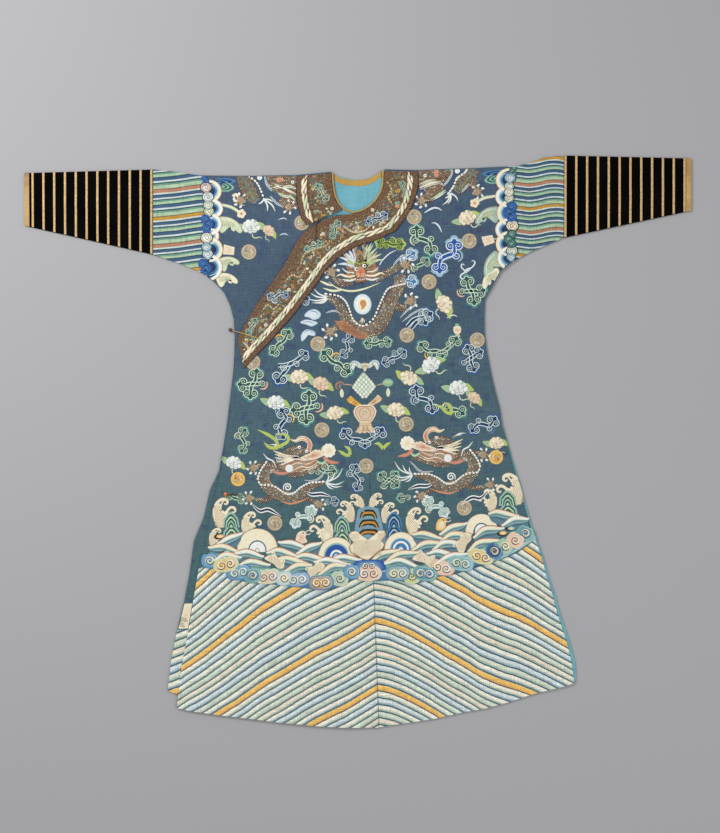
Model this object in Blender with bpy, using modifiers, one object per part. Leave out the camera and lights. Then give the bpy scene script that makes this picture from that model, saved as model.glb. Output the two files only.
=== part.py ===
"""A Chinese dragon robe laid out flat, face up, with its sleeves spread.

Each body length runs from the back hem over the shoulder to the front hem in one piece.
Sizes are millimetres on the cloth: "across" is positive to the right, "down" runs from the
neck to the hem. Objects are built in metres, with the underside at z = 0.
"""
import math
from collections import namedtuple

import bmesh
import bpy
import numpy as np
from mathutils import Vector

MM = 0.001

# Where the neck point lies from the middle of the robe's outline, right and up.
NECK_ACROSS = 3.5
NECK_DOWN = 675.75

# Cloth.
WALL = 2.0
LINING_WALL = 1.0
BAND_WALL = 1.6
CLEAR = 0.3
EASE = 0.2
LINED_RISE = LINING_WALL + CLEAR - EASE
OVERLAP_RISE = WALL + CLEAR + EASE
CREASE_FADE = 40.0

# Body.
SLEEVE_FOOT = 183.0
HEM_CURVE_START = 900.0
HALF_SEAM = 0.15
BODY_COLUMNS = 11
FOLD_STEPS = 6
UNDERLAP_INNER_EDGE = -84.0
OVERLAP_DROP_END = -4.0
OVERLAP_DROP_LENGTH = 76.0
UNDERLAP_HEM_SHORT = 18.0
BACK_HEM_SHORT = 5.0
BACK_SIDE_INSET = 3.0

# Neck.
PIPING_RADIUS = 2.3
PIPING_SPACE = 5.3
LINING_UNDER_FRONT = 12.0
NECK_CENTRE_DOWN = 45.0
NECK_RISE_NEAR = 85.0
NECK_RISE_FAR = 150.0

# Slit on the right, where the lining shows past the front's edge.
SLIT_TOP = 640.0
SLIT_LINING_UNDER_FRONT = 16.0
SLIT_RISE_NEAR = 60.0
SLIT_RISE_FAR = 120.0

# Neckband and its raised cord.
CORD_FROM_EDGE = 21.0
CORD_HALF_WIDTH = 8.0
CORD_HEIGHT = 1.3

# Sleeves with couched braid.
BRAID_COUNT = 12
BRAID_FIRST = 4.5
BRAID_PITCH = 27.0
BRAID_HALF_WIDTH = 3.75
BRAID_SLOPE = 0.8
BRAID_HEIGHT = 0.8
CUFF_BAND_WIDTH = 12.0
CUFF_BAND_EXTRA = 0.5
SLEEVE_FRONT_STEPS = 6
SLEEVE_BACK_STEPS = 4

# Fastenings.
KNOT_RADIUS = 4.8
CORAL_RADIUS = 5.0
LOOP_RADIUS = 1.2

Edge = namedtuple("Edge", "down across")
Line = namedtuple("Line", "across down")
Ridge = namedtuple("Ridge", "across_a down_a across_b down_b half_width height")
Station = namedtuple("Station", "neck_across neck_down outer_across outer_down")
Sleeve = namedtuple("Sleeve", "seam_top seam_foot cuff_top cuff_foot")

# Side seam of the left length and the slit edge of the part that lies under the overlap.
UNDERLAP_SIDE = (
    Edge(183, -520), Edge(192, -496), Edge(206, -458), Edge(223, -420), Edge(234, -398),
    Edge(257, -370), Edge(286, -345), Edge(319, -332), Edge(352, -325), Edge(391, -324),
    Edge(432, -326), Edge(476, -330), Edge(521, -337), Edge(565, -344), Edge(603, -350),
    Edge(666, -362), Edge(729, -376), Edge(776, -400), Edge(843, -418), Edge(902, -445),
    Edge(984, -459), Edge(1048, -474), Edge(1123, -495), Edge(1194, -512), Edge(1272, -524),
    Edge(1289, -524),
)
# Free edge of the overlap: along the top, down the diagonal to the armpit, then the side.
OVERLAP_SIDE = (
    Edge(101, -58), Edge(114, -95), Edge(126, -121), Edge(142, -144), Edge(162, -160),
    Edge(213, -189), Edge(264, -226), Edge(309, -263), Edge(374, -304), Edge(400, -319),
    Edge(432, -324), Edge(476, -328), Edge(521, -335), Edge(565, -342), Edge(603, -346),
    Edge(666, -357), Edge(729, -371), Edge(786, -388), Edge(857, -405), Edge(907, -417),
    Edge(964, -434), Edge(1065, -455), Edge(1139, -470), Edge(1218, -488), Edge(1288, -498),
    Edge(1316, -503),
)
RIGHT_SIDE = (
    Edge(179, 506), Edge(192, 469), Edge(213, 417), Edge(234, 375), Edge(256, 346),
    Edge(297, 322), Edge(327, 304), Edge(368, 301), Edge(409, 300), Edge(451, 304),
    Edge(493, 310), Edge(534, 317), Edge(566, 324), Edge(597, 331), Edge(638, 335),
    Edge(686, 348), Edge(740, 362), Edge(790, 376), Edge(837, 387), Edge(885, 398),
    Edge(927, 412), Edge(974, 427), Edge(1022, 438), Edge(1060, 450), Edge(1100, 459),
    Edge(1143, 471), Edge(1189, 485), Edge(1240, 496), Edge(1291, 497),
)
# How far the lining shows past the front along the right slit.
SLIT_LINING_SHOWN = (Edge(640, 0), Edge(760, 4), Edge(1000, 6), Edge(1240, 9), Edge(1291, 6))
HEM = (
    Line(-524, 1307), Line(-503, 1316), Line(-475, 1324), Line(-406, 1337), Line(-336, 1348),
    Line(-249, 1362), Line(-161, 1374), Line(-91, 1381), Line(0, 1385), Line(63, 1378),
    Line(136, 1370), Line(211, 1356), Line(266, 1349), Line(321, 1336), Line(395, 1315),
    Line(470, 1300), Line(497, 1291),
)
# Top edge over both shoulders, from sleeve seam to sleeve seam.
SHOULDER = (
    Line(-512, -30), Line(-469, -24), Line(-431, -17), Line(-397, -11), Line(-271, -5),
    Line(-156, -3), Line(-62, -8), Line(60, -9), Line(154, -4), Line(304, -4), Line(398, -5),
    Line(425, -10), Line(449, -17), Line(463, -23), Line(514, -27),
)
# Opening of the front neck, from the left shoulder round to the right.
NECK = (
    Line(-62, -5), Line(-62, 13), Line(-60, 38), Line(-57, 54), Line(-48, 73), Line(-36, 86),
    Line(-17, 94), Line(3, 90), Line(23, 80), Line(38, 66), Line(51, 47), Line(57, 27),
    Line(58, 7), Line(60, -5),
)
BACK_NECK = (
    Line(-68, -8), Line(-61, -2), Line(-47, 8), Line(-22, 14), Line(-2, 16), Line(23, 14),
    Line(44, 4), Line(57, -6), Line(66, -9),
)
BACK_NECK_BAND_FOOT = (
    Line(-60, 15), Line(-42, 25), Line(-22, 29), Line(-2, 31), Line(23, 29), Line(40, 21),
    Line(57, 10),
)
OVERLAP_BAND = (
    Station(66, -4, 149, 0), Station(63, 13, 150, 18), Station(63, 29, 149, 34),
    Station(56, 50, 144, 54), Station(42, 71, 138, 71), Station(26, 85, 129, 91),
    Station(5, 96, 116, 111), Station(-5, 99, 88, 146), Station(-17, 100, 40, 167),
    Station(-34, 101, -13, 182), Station(-66, 104, -40, 197), Station(-97, 116, -60, 209),
    Station(-122, 127, -77, 225), Station(-143, 143, -93, 242), Station(-160, 164, -106, 261),
    Station(-188, 213, -136, 299), Station(-225, 264, -168, 339), Station(-244, 288, -191, 364),
    Station(-262, 310, -214, 388), Station(-283, 343, -237, 412), Station(-302, 374, -262, 435),
    Station(-317, 401, -304, 477),
)
UNDERLAP_BAND = (
    Station(-68, -4, -154, 1), Station(-68, 13, -157, 20), Station(-66, 37, -158, 40),
    Station(-63, 53, -156, 65), Station(-57, 73, -152, 88), Station(-49, 83, -147, 107),
    Station(-45, 88, -134, 124),
)
# Soft creases of the upper cloth, laid from one end to the other.
RIDGES = (
    Ridge(-500, 60, -330, 120, 34, 2.4),
    Ridge(-450, 190, -250, 90, 40, 3.0),
    Ridge(-260, 20, -235, 130, 32, 1.6),
    Ridge(210, 20, 240, 210, 36, 1.8),
    Ridge(290, 300, 430, 120, 42, 3.2),
    Ridge(330, 60, 500, 40, 32, 2.2),
    Ridge(-250, 470, -290, 900, 46, 2.6),
    Ridge(-150, 400, -120, 760, 50, 1.8),
    Ridge(-95, 620, -115, 1180, 52, 2.2),
    Ridge(95, 420, 120, 900, 48, 2.2),
    Ridge(230, 340, 200, 640, 44, 2.6),
    Ridge(250, 700, 330, 1150, 52, 3.0),
    Ridge(-300, 960, -350, 1260, 48, 2.4),
    Ridge(140, 960, 170, 1300, 50, 2.0),
    Ridge(-560, 60, -790, 40, 30, 1.8),
    Ridge(-540, 140, -700, 90, 26, 1.4),
    Ridge(560, 110, 800, 60, 30, 2.0),
    Ridge(540, 30, 660, 20, 24, 1.4),
)
SLEEVES = {
    "left": Sleeve(Line(-512, -30), Line(-520, 183), Line(-834, -33), Line(-838, 99)),
    "right": Sleeve(Line(514, -27), Line(506, 179), Line(831, -8), Line(826, 123)),
}
# Rows of the front between the shoulder fold and the foot of the sleeve, then to the hem.
UPPER_FRONT = (12, 26, 40, 54, 66, 77, 87, 94, 101, 114, 134, 158)
LOWER_FRONT = (
    183, 192, 206, 223, 250, 286, 319, 352, 391, 432, 476, 521, 565, 603, 640, 680, 729, 776,
    830, 890, 950, 1010, 1070, 1130, 1190, 1240,
)
UPPER_BACK = (5, 11, 17, 22, 27, 60, 110)
LOWER_BACK = (
    183, 206, 234, 286, 352, 432, 521, 603, 666, 729, 776, 843, 902, 984, 1060, 1143, 1220,
)

COLOURS = {
    "indigo": (0.055, 0.100, 0.170),
    "teal": (0.060, 0.120, 0.165),
    "black": (0.004, 0.003, 0.005),
    "gold": (0.500, 0.360, 0.110),
    "brown": (0.140, 0.085, 0.045),
    "sky": (0.180, 0.450, 0.560),
    "coral": (0.520, 0.140, 0.050),
}


def clear_scene():
    for thing in list(bpy.data.objects):
        bpy.data.objects.remove(thing, do_unlink=True)


def robe_collection():
    collection = bpy.data.collections.new("dragon_robe")
    bpy.context.scene.collection.children.link(collection)
    return collection


def cloth_material(name, roughness=0.75):
    material = bpy.data.materials.get(name) or bpy.data.materials.new(name)
    material.use_nodes = True
    shader = material.node_tree.nodes["Principled BSDF"]
    shader.inputs["Base Color"].default_value = (*COLOURS[name], 1.0)
    shader.inputs["Roughness"].default_value = roughness
    shader.inputs["Metallic"].default_value = 0.0
    return material


def place(across, down, height):
    """A point of the robe in metres."""
    return Vector((across + NECK_ACROSS, NECK_DOWN - down, height)) * MM


def read_edge(table, down):
    return float(np.interp(down, [e.down for e in table], [e.across for e in table]))


def read_line(table, across):
    return float(np.interp(across, [p.across for p in table], [p.down for p in table]))


def smooth(value):
    value = min(max(value, 0.0), 1.0)
    return value * value * (3.0 - 2.0 * value)


def offset_line(line, distance):
    """The same path moved out by a distance to its right-hand side."""
    moved = []
    for k, point in enumerate(line):
        before = line[max(k - 1, 0)]
        after = line[min(k + 1, len(line) - 1)]
        run = Vector((after.across - before.across, after.down - before.down)).normalized()
        moved.append(Line(point.across - run.y * distance, point.down + run.x * distance))
    return moved


PANEL_NECK = offset_line(NECK, PIPING_SPACE)
PIPING_LINE = offset_line(NECK, PIPING_RADIUS + 0.2)
LINING_LINE = offset_line(NECK, LINING_UNDER_FRONT)


def neck_half(side):
    """The panel's neck edge on one side of its lowest point, as across for each down."""
    lowest = max(range(len(PANEL_NECK)), key=lambda k: PANEL_NECK[k].down)
    points = PANEL_NECK[: lowest + 1] if side == "left" else PANEL_NECK[lowest:]
    return sorted(Edge(p.down, p.across) for p in points)


NECK_HALVES = {side: neck_half(side) for side in ("left", "right")}


def ridge_height(across, down):
    total = 0.0
    point = Vector((across, down))
    for ridge in RIDGES:
        start = Vector((ridge.across_a, ridge.down_a))
        run = Vector((ridge.across_b, ridge.down_b)) - start
        along = (point - start).dot(run) / run.length_squared
        nearest = start + run * min(max(along, 0.0), 1.0)
        beyond = (point - nearest).length / ridge.half_width
        fade = math.sin(math.pi * min(max(along, 0.0), 1.0)) ** 0.5
        if beyond < 1.0:
            total = max(total, ridge.height * fade * (1.0 - beyond * beyond) ** 2)
    return total


def overlap_depth(across, down):
    """How far a point lies inside the overlap's free edge, and negative outside it."""
    if across > 0.0 or down < OVERLAP_SIDE[0].down:
        return -CREASE_FADE
    return across - read_edge(OVERLAP_SIDE, down)


def lined_under(across, down):
    """Height of the front's underside without creases, raised where lining lies below."""
    from_neck = math.hypot(across, down - NECK_CENTRE_DOWN)
    near_neck = smooth((NECK_RISE_FAR - from_neck) / (NECK_RISE_FAR - NECK_RISE_NEAR))
    from_slit = read_edge(RIGHT_SIDE, down) - across
    near_slit = smooth((SLIT_RISE_FAR - from_slit) / (SLIT_RISE_FAR - SLIT_RISE_NEAR))
    near_slit *= smooth((down - SLIT_TOP + SLIT_RISE_NEAR) / SLIT_RISE_NEAR)
    return WALL + CLEAR + EASE + LINED_RISE * max(near_neck, near_slit)


def front_under(across, down):
    """Height of the underside of the front, or of a sleeve's upper layer.

    Creases fade out towards the overlap, and what lies under it is plain.
    """
    seen = smooth(-overlap_depth(across, down) / CREASE_FADE)
    return lined_under(across, down) + ridge_height(across, down) * seen


def overlap_under(across, down):
    """Height of the underside of the overlap, which steps down to the right front's level."""
    drop = smooth((OVERLAP_DROP_END - across) / OVERLAP_DROP_LENGTH)
    seen = smooth(overlap_depth(across, down) / CREASE_FADE)
    creased = lined_under(across, down) + ridge_height(across, down) * seen
    return creased + OVERLAP_RISE * drop


def on_overlap(across, down):
    return overlap_depth(across, down) > 0.0


def front_top(across, down):
    """Height of the cloth that shows, with the overlap where it lies."""
    under = overlap_under if on_overlap(across, down) else front_under
    return under(across, down) + WALL


def band_under(across, down):
    """Underside of the overlap's neckband, which keeps the overlap's level past its edge."""
    under = overlap_under if across < 0.0 else front_under
    return under(across, down) + WALL + CLEAR + EASE


def underlap_band_under(across, down):
    return front_under(across, down) + WALL + CLEAR + EASE


def new_object(name, mesh, collection, colour):
    thing = bpy.data.objects.new(name, mesh)
    collection.objects.link(thing)
    mesh.materials.append(cloth_material(colour))
    return thing


def mesh_from(name, points, faces):
    """A mesh from (across, down, height) points, with its faces turned outwards."""
    mesh = bpy.data.meshes.new(name)
    mesh.from_pydata([place(*point) for point in points], [], faces)
    work = bmesh.new()
    work.from_mesh(mesh)
    bmesh.ops.recalc_face_normals(work, faces=work.faces)
    work.to_mesh(mesh)
    work.free()
    mesh.shade_smooth()
    mesh.set_sharp_from_angle(angle=math.radians(40.0))
    return mesh


def grid_faces(rows, columns, start=0):
    faces = []
    for row in range(rows - 1):
        for column in range(columns - 1):
            corner = start + row * columns + column
            faces.append((corner, corner + 1, corner + columns + 1, corner + columns))
    return faces


def border(rows, columns):
    """Indices round the border of a grid, in order."""
    top = list(range(columns))
    right = [row * columns + columns - 1 for row in range(1, rows)]
    bottom = list(range((rows - 1) * columns + columns - 2, (rows - 1) * columns - 1, -1))
    left = [row * columns for row in range(rows - 2, 0, -1)]
    return top + right + bottom + left


def wall_between(name, outer, inner, collection, colour):
    """A closed wall between two grids of points with the same rows and columns."""
    rows, columns = len(outer), len(outer[0])
    count = rows * columns
    points = [p for row in outer for p in row] + [p for row in inner for p in row]
    faces = grid_faces(rows, columns) + grid_faces(rows, columns, count)
    ring = border(rows, columns)
    for here, after in zip(ring, ring[1:] + ring[:1]):
        faces.append((here, after, after + count, here + count))
    return new_object(name, mesh_from(name, points, faces), collection, colour)


def laid_sheet(name, grid, thickness, collection, colour):
    """An open grid of underside points, given its thickness upwards by Solidify."""
    rows, columns = len(grid), len(grid[0])
    mesh = mesh_from(name, [p for row in grid for p in row], grid_faces(rows, columns))
    if mesh.polygons[0].normal.z < 0.0:
        mesh.flip_normals()
    sheet = new_object(name, mesh, collection, colour)
    solidify = sheet.modifiers.new("cloth", "SOLIDIFY")
    solidify.thickness = thickness * MM
    solidify.offset = 1.0
    return sheet


def tube_wall(name, outer_rings, inner_rings, collection, colour):
    """A tube of cloth, open at both ends, between outer rings and fewer inner rings."""
    size = len(outer_rings[0])
    points = [p for ring in outer_rings + inner_rings for p in ring]
    faces = []

    def join(ring_a, ring_b):
        for k in range(size):
            after = (k + 1) % size
            faces.append((ring_a + k, ring_a + after, ring_b + after, ring_b + k))

    starts = [k * size for k in range(len(outer_rings) + len(inner_rings))]
    outer, inner = starts[: len(outer_rings)], starts[len(outer_rings):]
    for group in (outer, inner):
        for ring_a, ring_b in zip(group, group[1:]):
            join(ring_a, ring_b)
    join(outer[0], inner[0])
    join(outer[-1], inner[-1])
    return new_object(name, mesh_from(name, points, faces), collection, colour)


def fold_radius(across, down):
    return 0.5 * (front_under(across, down) + WALL)


def upper_row(side_out, neck_in, level):
    """Across and down of each column, between the shoulder fold and the sleeve's foot."""
    share = level / SLEEVE_FOOT
    shoulder = read_line(SHOULDER, neck_in(0.0))
    start = neck_in(shoulder + (SLEEVE_FOOT - shoulder) * share)
    row = []
    for column in range(BODY_COLUMNS):
        across = start + (side_out(level) - start) * column / (BODY_COLUMNS - 1)
        top = read_line(SHOULDER, across)
        top += fold_radius(across, top)
        row.append((across, top + (SLEEVE_FOOT - top) * share))
    return row


def lower_row(inner, outer, hem, level, last):
    """Across and down of each column below the sleeve, bending towards the curved hem."""
    bend = smooth((level - HEM_CURVE_START) / (last - HEM_CURVE_START))
    row = []
    for column in range(BODY_COLUMNS):
        across = inner + (outer - inner) * column / (BODY_COLUMNS - 1)
        row.append((across, level + bend * (hem(across) - hem(outer))))
    return row


def body_rows(side, face):
    """Rows of one body length from the shoulder fold to its hem, for its front or back."""
    sign = -1.0 if side == "left" else 1.0
    seam_top = SLEEVES[side].seam_top.across
    seam_foot = SLEEVES[side].seam_foot.across
    table = UNDERLAP_SIDE if side == "left" else RIGHT_SIDE
    sag = sorted(Edge(p.down, p.across) for p in BACK_NECK if p.across * sign > -3)
    centre = sign * HALF_SEAM

    def side_out(level):
        if level < SLEEVE_FOOT:
            return seam_top + (seam_foot - seam_top) * level / SLEEVE_FOOT
        across = read_edge(table, level)
        if face == "back" and side == "left":
            return across + BACK_SIDE_INSET
        if face == "front" and side == "right":
            return across - read_edge(SLIT_LINING_SHOWN, level)
        return across

    def neck_in(down):
        if face == "back":
            return centre if down >= sag[-1].down else read_edge(sag, down)
        half = NECK_HALVES[side]
        if side == "left":
            return UNDERLAP_INNER_EDGE if down > half[-2].down else read_edge(half, down)
        across = read_edge(half, down)
        return centre if down >= half[-1].down else max(across, centre)

    def hem(across):
        short = 0.0
        if side == "left":
            short += UNDERLAP_HEM_SHORT
        if face == "back":
            short += BACK_HEM_SHORT
        return read_line(HEM, across) - short

    upper = UPPER_BACK if face == "back" else UPPER_FRONT
    lower = LOWER_BACK if face == "back" else LOWER_FRONT
    inner = UNDERLAP_INNER_EDGE if (side, face) == ("left", "front") else centre
    last = hem(table[-1].across)
    rows = [upper_row(side_out, neck_in, level) for level in upper]
    rows += [lower_row(inner, side_out(level), hem, level, last) for level in lower]
    rows.append(lower_row(inner, side_out(last), hem, last, last))
    return rows


def fold_rows(side):
    """Outer and inner points round the shoulder fold, from the back face to the front."""
    start = NECK_HALVES[side][0].across
    end = SLEEVES[side].seam_top.across
    outer, inner = [], []
    for step in range(FOLD_STEPS + 1):
        angle = math.pi * (step / FOLD_STEPS - 0.5)
        outer_row, inner_row = [], []
        for column in range(BODY_COLUMNS):
            across = start + (end - start) * column / (BODY_COLUMNS - 1)
            top = read_line(SHOULDER, across)
            radius = fold_radius(across, top)
            for row, reach in ((outer_row, radius), (inner_row, radius - WALL)):
                down = top + radius - reach * math.cos(angle)
                row.append((across, down, radius + reach * math.sin(angle)))
        outer.append(outer_row)
        inner.append(inner_row)
    return outer, inner


def body_length(side, collection):
    """One length of the robe: back, shoulder fold and front in a single wall."""
    back = body_rows(side, "back")[::-1]
    front = body_rows(side, "front")
    fold_outer, fold_inner = fold_rows(side)
    outer = [[(a, d, 0.0) for a, d in row] for row in back] + fold_outer
    inner = [[(a, d, WALL) for a, d in row] for row in back] + fold_inner
    outer += [[(a, d, front_under(a, d) + WALL) for a, d in row] for row in front]
    inner += [[(a, d, front_under(a, d)) for a, d in row] for row in front]
    colour = "indigo" if side == "left" else "teal"
    wall_between(f"body_{side}", outer, inner, collection, colour)


def overlap_front(collection):
    levels = [e.down for e in OVERLAP_SIDE]
    grid = []
    for level in levels:
        edge = read_edge(OVERLAP_SIDE, level)
        flat = lower_row(-HALF_SEAM, edge, lambda a: read_line(HEM, a), level, levels[-1])
        grid.append([(a, d, overlap_under(a, d)) for a, d in flat])
    laid_sheet("overlap_front", grid, WALL, collection, "teal")


def band_columns(width):
    """Shares of the band's width from its neck edge, with how far each is raised."""
    from_outer = (
        (width, 0.0), (width - 12.0, 0.5), (0.5 * (width + CORD_FROM_EDGE), 0.2),
        (CORD_FROM_EDGE + CORD_HALF_WIDTH, 0.2), (CORD_FROM_EDGE + 0.4 * CORD_HALF_WIDTH, 1.0),
        (CORD_FROM_EDGE - 0.4 * CORD_HALF_WIDTH, 1.0), (CORD_FROM_EDGE - CORD_HALF_WIDTH, 0.2),
        (5.0, 0.5), (0.0, 0.0),
    )
    return [(1.0 - distance / width, raised * CORD_HEIGHT) for distance, raised in from_outer]


def neckband(name, stations, under, collection):
    outer, inner = [], []
    for station in stations:
        neck = Vector((station.neck_across, station.neck_down))
        rim = Vector((station.outer_across, station.outer_down))
        outer_row, inner_row = [], []
        for share, raised in band_columns((rim - neck).length):
            across, down = neck.lerp(rim, share)
            base = under(across, down)
            inner_row.append((across, down, base))
            outer_row.append((across, down, base + BAND_WALL + raised))
        outer.append(outer_row)
        inner.append(inner_row)
    wall_between(name, outer, inner, collection, "brown")


def cord_along(name, points, radius, collection, colour):
    """A round cord through (across, down, height) points."""
    curve = bpy.data.curves.new(name, "CURVE")
    curve.dimensions = "3D"
    curve.bevel_depth = radius * MM
    curve.bevel_resolution = 2
    curve.use_fill_caps = True
    spline = curve.splines.new("POLY")
    spline.points.add(len(points) - 1)
    for slot, point in zip(spline.points, points):
        slot.co = (*place(*point), 1.0)
    thing = bpy.data.objects.new(name, curve)
    collection.objects.link(thing)
    curve.materials.append(cloth_material(colour))


def neck_piping(collection):
    points = []
    for here in PIPING_LINE:
        height = front_under(here.across, here.down) + PIPING_RADIUS
        points.append((here.across, here.down, height))
    cord_along("neck_piping", points, PIPING_RADIUS, collection, "gold")


def back_neck_band(collection):
    grid = []
    for foot in BACK_NECK_BAND_FOOT:
        top = read_line(BACK_NECK, foot.across)
        drop = foot.down - top
        grid.append([(foot.across, top + drop * k / 2, WALL + CLEAR) for k in range(3)])
    laid_sheet("back_neck_band", grid, LINING_WALL + EASE, collection, "gold")


def neck_lining(collection):
    """The back lining seen in the neck, from the back band to under the front."""
    stations = [LINING_LINE[1].across]
    stations += [foot.across for foot in BACK_NECK_BAND_FOOT]
    stations.append(LINING_LINE[-2].across)
    rows = 6
    grid = []
    for across in stations:
        top = read_line(BACK_NECK_BAND_FOOT, across) + CLEAR
        foot = max(read_line(LINING_LINE[2:-2], across), top + 20.0)
        grid.append([(across, top + (foot - top) * k / (rows - 1), WALL + CLEAR) for k in range(rows)])
    laid_sheet("lining_neck", grid, LINING_WALL, collection, "sky")


def slit_lining(collection):
    grid = []
    for level in [e.down for e in RIGHT_SIDE if e.down >= SLIT_TOP]:
        edge = read_edge(RIGHT_SIDE, level)
        inside = edge - read_edge(SLIT_LINING_SHOWN, level) - SLIT_LINING_UNDER_FRONT
        down = min(level, HEM[-1].down - BACK_HEM_SHORT)
        grid.append([(a, down, WALL + CLEAR) for a in (inside, edge - 0.5)])
    laid_sheet("lining_slit", grid, LINING_WALL, collection, "sky")


def sleeve_ring(side, share, inside, raised=0.0, extra=0.0):
    """One ring of a flattened sleeve at a share of its length from seam to cuff."""
    cut = SLEEVES[side]
    top = Vector(cut.seam_top).lerp(Vector(cut.cuff_top), share)
    foot = Vector(cut.seam_foot).lerp(Vector(cut.cuff_foot), share)
    radius = 0.5 * (2.0 * WALL + CLEAR + EASE) + extra
    reach = radius - WALL - extra if inside else radius
    run = foot - top
    start = radius - extra
    ring = []
    for k in range(SLEEVE_BACK_STEPS):
        down = run.y - start - (run.y - 2.0 * start) * k / SLEEVE_BACK_STEPS
        ring.append((top.x + run.x * down / run.y, top.y + down, radius - reach))
    for k in range(FOLD_STEPS):
        angle = math.pi * (k / FOLD_STEPS - 0.5)
        down = start - reach * math.cos(angle)
        ring.append((top.x + run.x * down / run.y, top.y + down, radius + reach * math.sin(angle)))
    for k in range(SLEEVE_FRONT_STEPS):
        down = start + (run.y - 2.0 * start) * k / SLEEVE_FRONT_STEPS
        across = top.x + run.x * down / run.y
        lift = front_under(across, top.y + down) - WALL - CLEAR - EASE
        lift *= math.sin(math.pi * k / SLEEVE_FRONT_STEPS)
        ring.append((across, top.y + down, radius + reach + lift + raised))
    for k in range(FOLD_STEPS):
        angle = math.pi * (0.5 - k / FOLD_STEPS)
        down = run.y - start + reach * math.cos(angle)
        ring.append((top.x + run.x * down / run.y, top.y + down, radius + reach * math.sin(angle)))
    return ring


def sleeve(side, collection):
    """The dark sleeve with its rows of couched braid, and the gold band at the cuff."""
    cut = SLEEVES[side]
    length = abs(cut.cuff_top.across - cut.seam_top.across)
    cloth_end = length - CUFF_BAND_WIDTH
    marks = [(CLEAR, 0.0)]
    for row in range(BRAID_COUNT):
        centre = BRAID_FIRST + BRAID_PITCH * row
        flat = BRAID_HALF_WIDTH - BRAID_SLOPE
        marks += [(centre - BRAID_HALF_WIDTH, 0.0), (centre - flat, BRAID_HEIGHT)]
        marks += [(centre + flat, BRAID_HEIGHT), (centre + BRAID_HALF_WIDTH, 0.0)]
    marks.append((cloth_end, 0.0))
    outer = [sleeve_ring(side, at / length, False, raised) for at, raised in marks]
    inner = [sleeve_ring(side, at / length, True) for at in (CLEAR, 0.5 * length, cloth_end)]
    tube_wall(f"sleeve_{side}", outer, inner, collection, "black")
    ends = ((cloth_end + CLEAR) / length, 1.0)
    outer = [sleeve_ring(side, share, False, extra=CUFF_BAND_EXTRA) for share in ends]
    inner = [sleeve_ring(side, share, True, extra=CUFF_BAND_EXTRA) for share in ends]
    tube_wall(f"cuff_band_{side}", outer, inner, collection, "gold")


def ball(name, across, down, height, radius, collection, colour):
    """A small round button."""
    bpy.ops.mesh.primitive_uv_sphere_add(
        segments=12, ring_count=8, radius=radius * MM, location=place(across, down, height)
    )
    button = bpy.context.object
    button.name = name
    for holder in list(button.users_collection):
        holder.objects.unlink(button)
    collection.objects.link(button)
    button.data.name = name
    button.data.shade_smooth()
    button.data.materials.append(cloth_material(colour, 0.35))


def fastenings(collection):
    """Knot and loop at the neck, knot and loop at the armpit, coral button at the side."""
    lie = LOOP_RADIUS + CLEAR
    band_top = BAND_WALL + CORD_HEIGHT + lie
    knot_down = 111.0
    knot_height = underlap_band_under(-110, knot_down) + BAND_WALL + CORD_HEIGHT + KNOT_RADIUS
    ball("button_neck", -110, knot_down, knot_height, KNOT_RADIUS, collection, "gold")
    points = []
    for across, down in ((-110.2, 116.2), (-110.6, 123), (-111.2, 134), (-112, 150), (-112.6, 168)):
        points.append((across, down, max(band_under(across, down) + band_top, knot_height - 1.0)))
    points[-1] = (*points[-1][:2], band_under(-112.6, 168) + band_top)
    cord_along("loop_neck", points, LOOP_RADIUS, collection, "brown")

    ball("button_armpit", -334, 378, KNOT_RADIUS + CLEAR, KNOT_RADIUS, collection, "brown")
    top = band_under(-290, 390) + band_top
    side_top = front_under(-318, 383) + WALL + lie
    path = (
        (-329.2, 379.8, side_top - 0.2), (-322, 382, side_top + 0.6), (-314, 384.5, top - 1.0),
        (-305, 387.5, top), (-290, 393, top), (-262, 403, top),
    )
    cord_along("loop_armpit", path, LOOP_RADIUS, collection, "gold")

    height = front_top(-361, 787) + CLEAR
    ball("button_side", -361, 787, height + CORAL_RADIUS, CORAL_RADIUS, collection, "coral")
    points = []
    for across, down in ((-355.5, 787.5), (-350, 788), (-340, 789), (-330, 790), (-321, 791)):
        points.append((across, down, front_top(across, down) + lie + 0.3))
    points[0] = (*points[0][:2], points[0][2] + 2.0)
    cord_along("loop_side", points, LOOP_RADIUS, collection, "indigo")


def build():
    clear_scene()
    collection = robe_collection()
    for side in ("left", "right"):
        body_length(side, collection)
        sleeve(side, collection)
    overlap_front(collection)
    neckband("neckband_overlap", OVERLAP_BAND, band_under, collection)
    neckband("neckband_underlap", UNDERLAP_BAND, underlap_band_under, collection)
    neck_piping(collection)
    back_neck_band(collection)
    neck_lining(collection)
    slit_lining(collection)
    fastenings(collection)


build()
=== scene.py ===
"""Looks of a Chinese dragon robe laid flat: its cloth, woven figures, braid, bands and fastenings.

Flat sizes are millimetres on the cloth: "across" is positive to the right, "down" runs from the
neck to the hem, and "lift" is how far a thread lies above the cloth. Objects are in metres.
"""

import math

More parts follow.
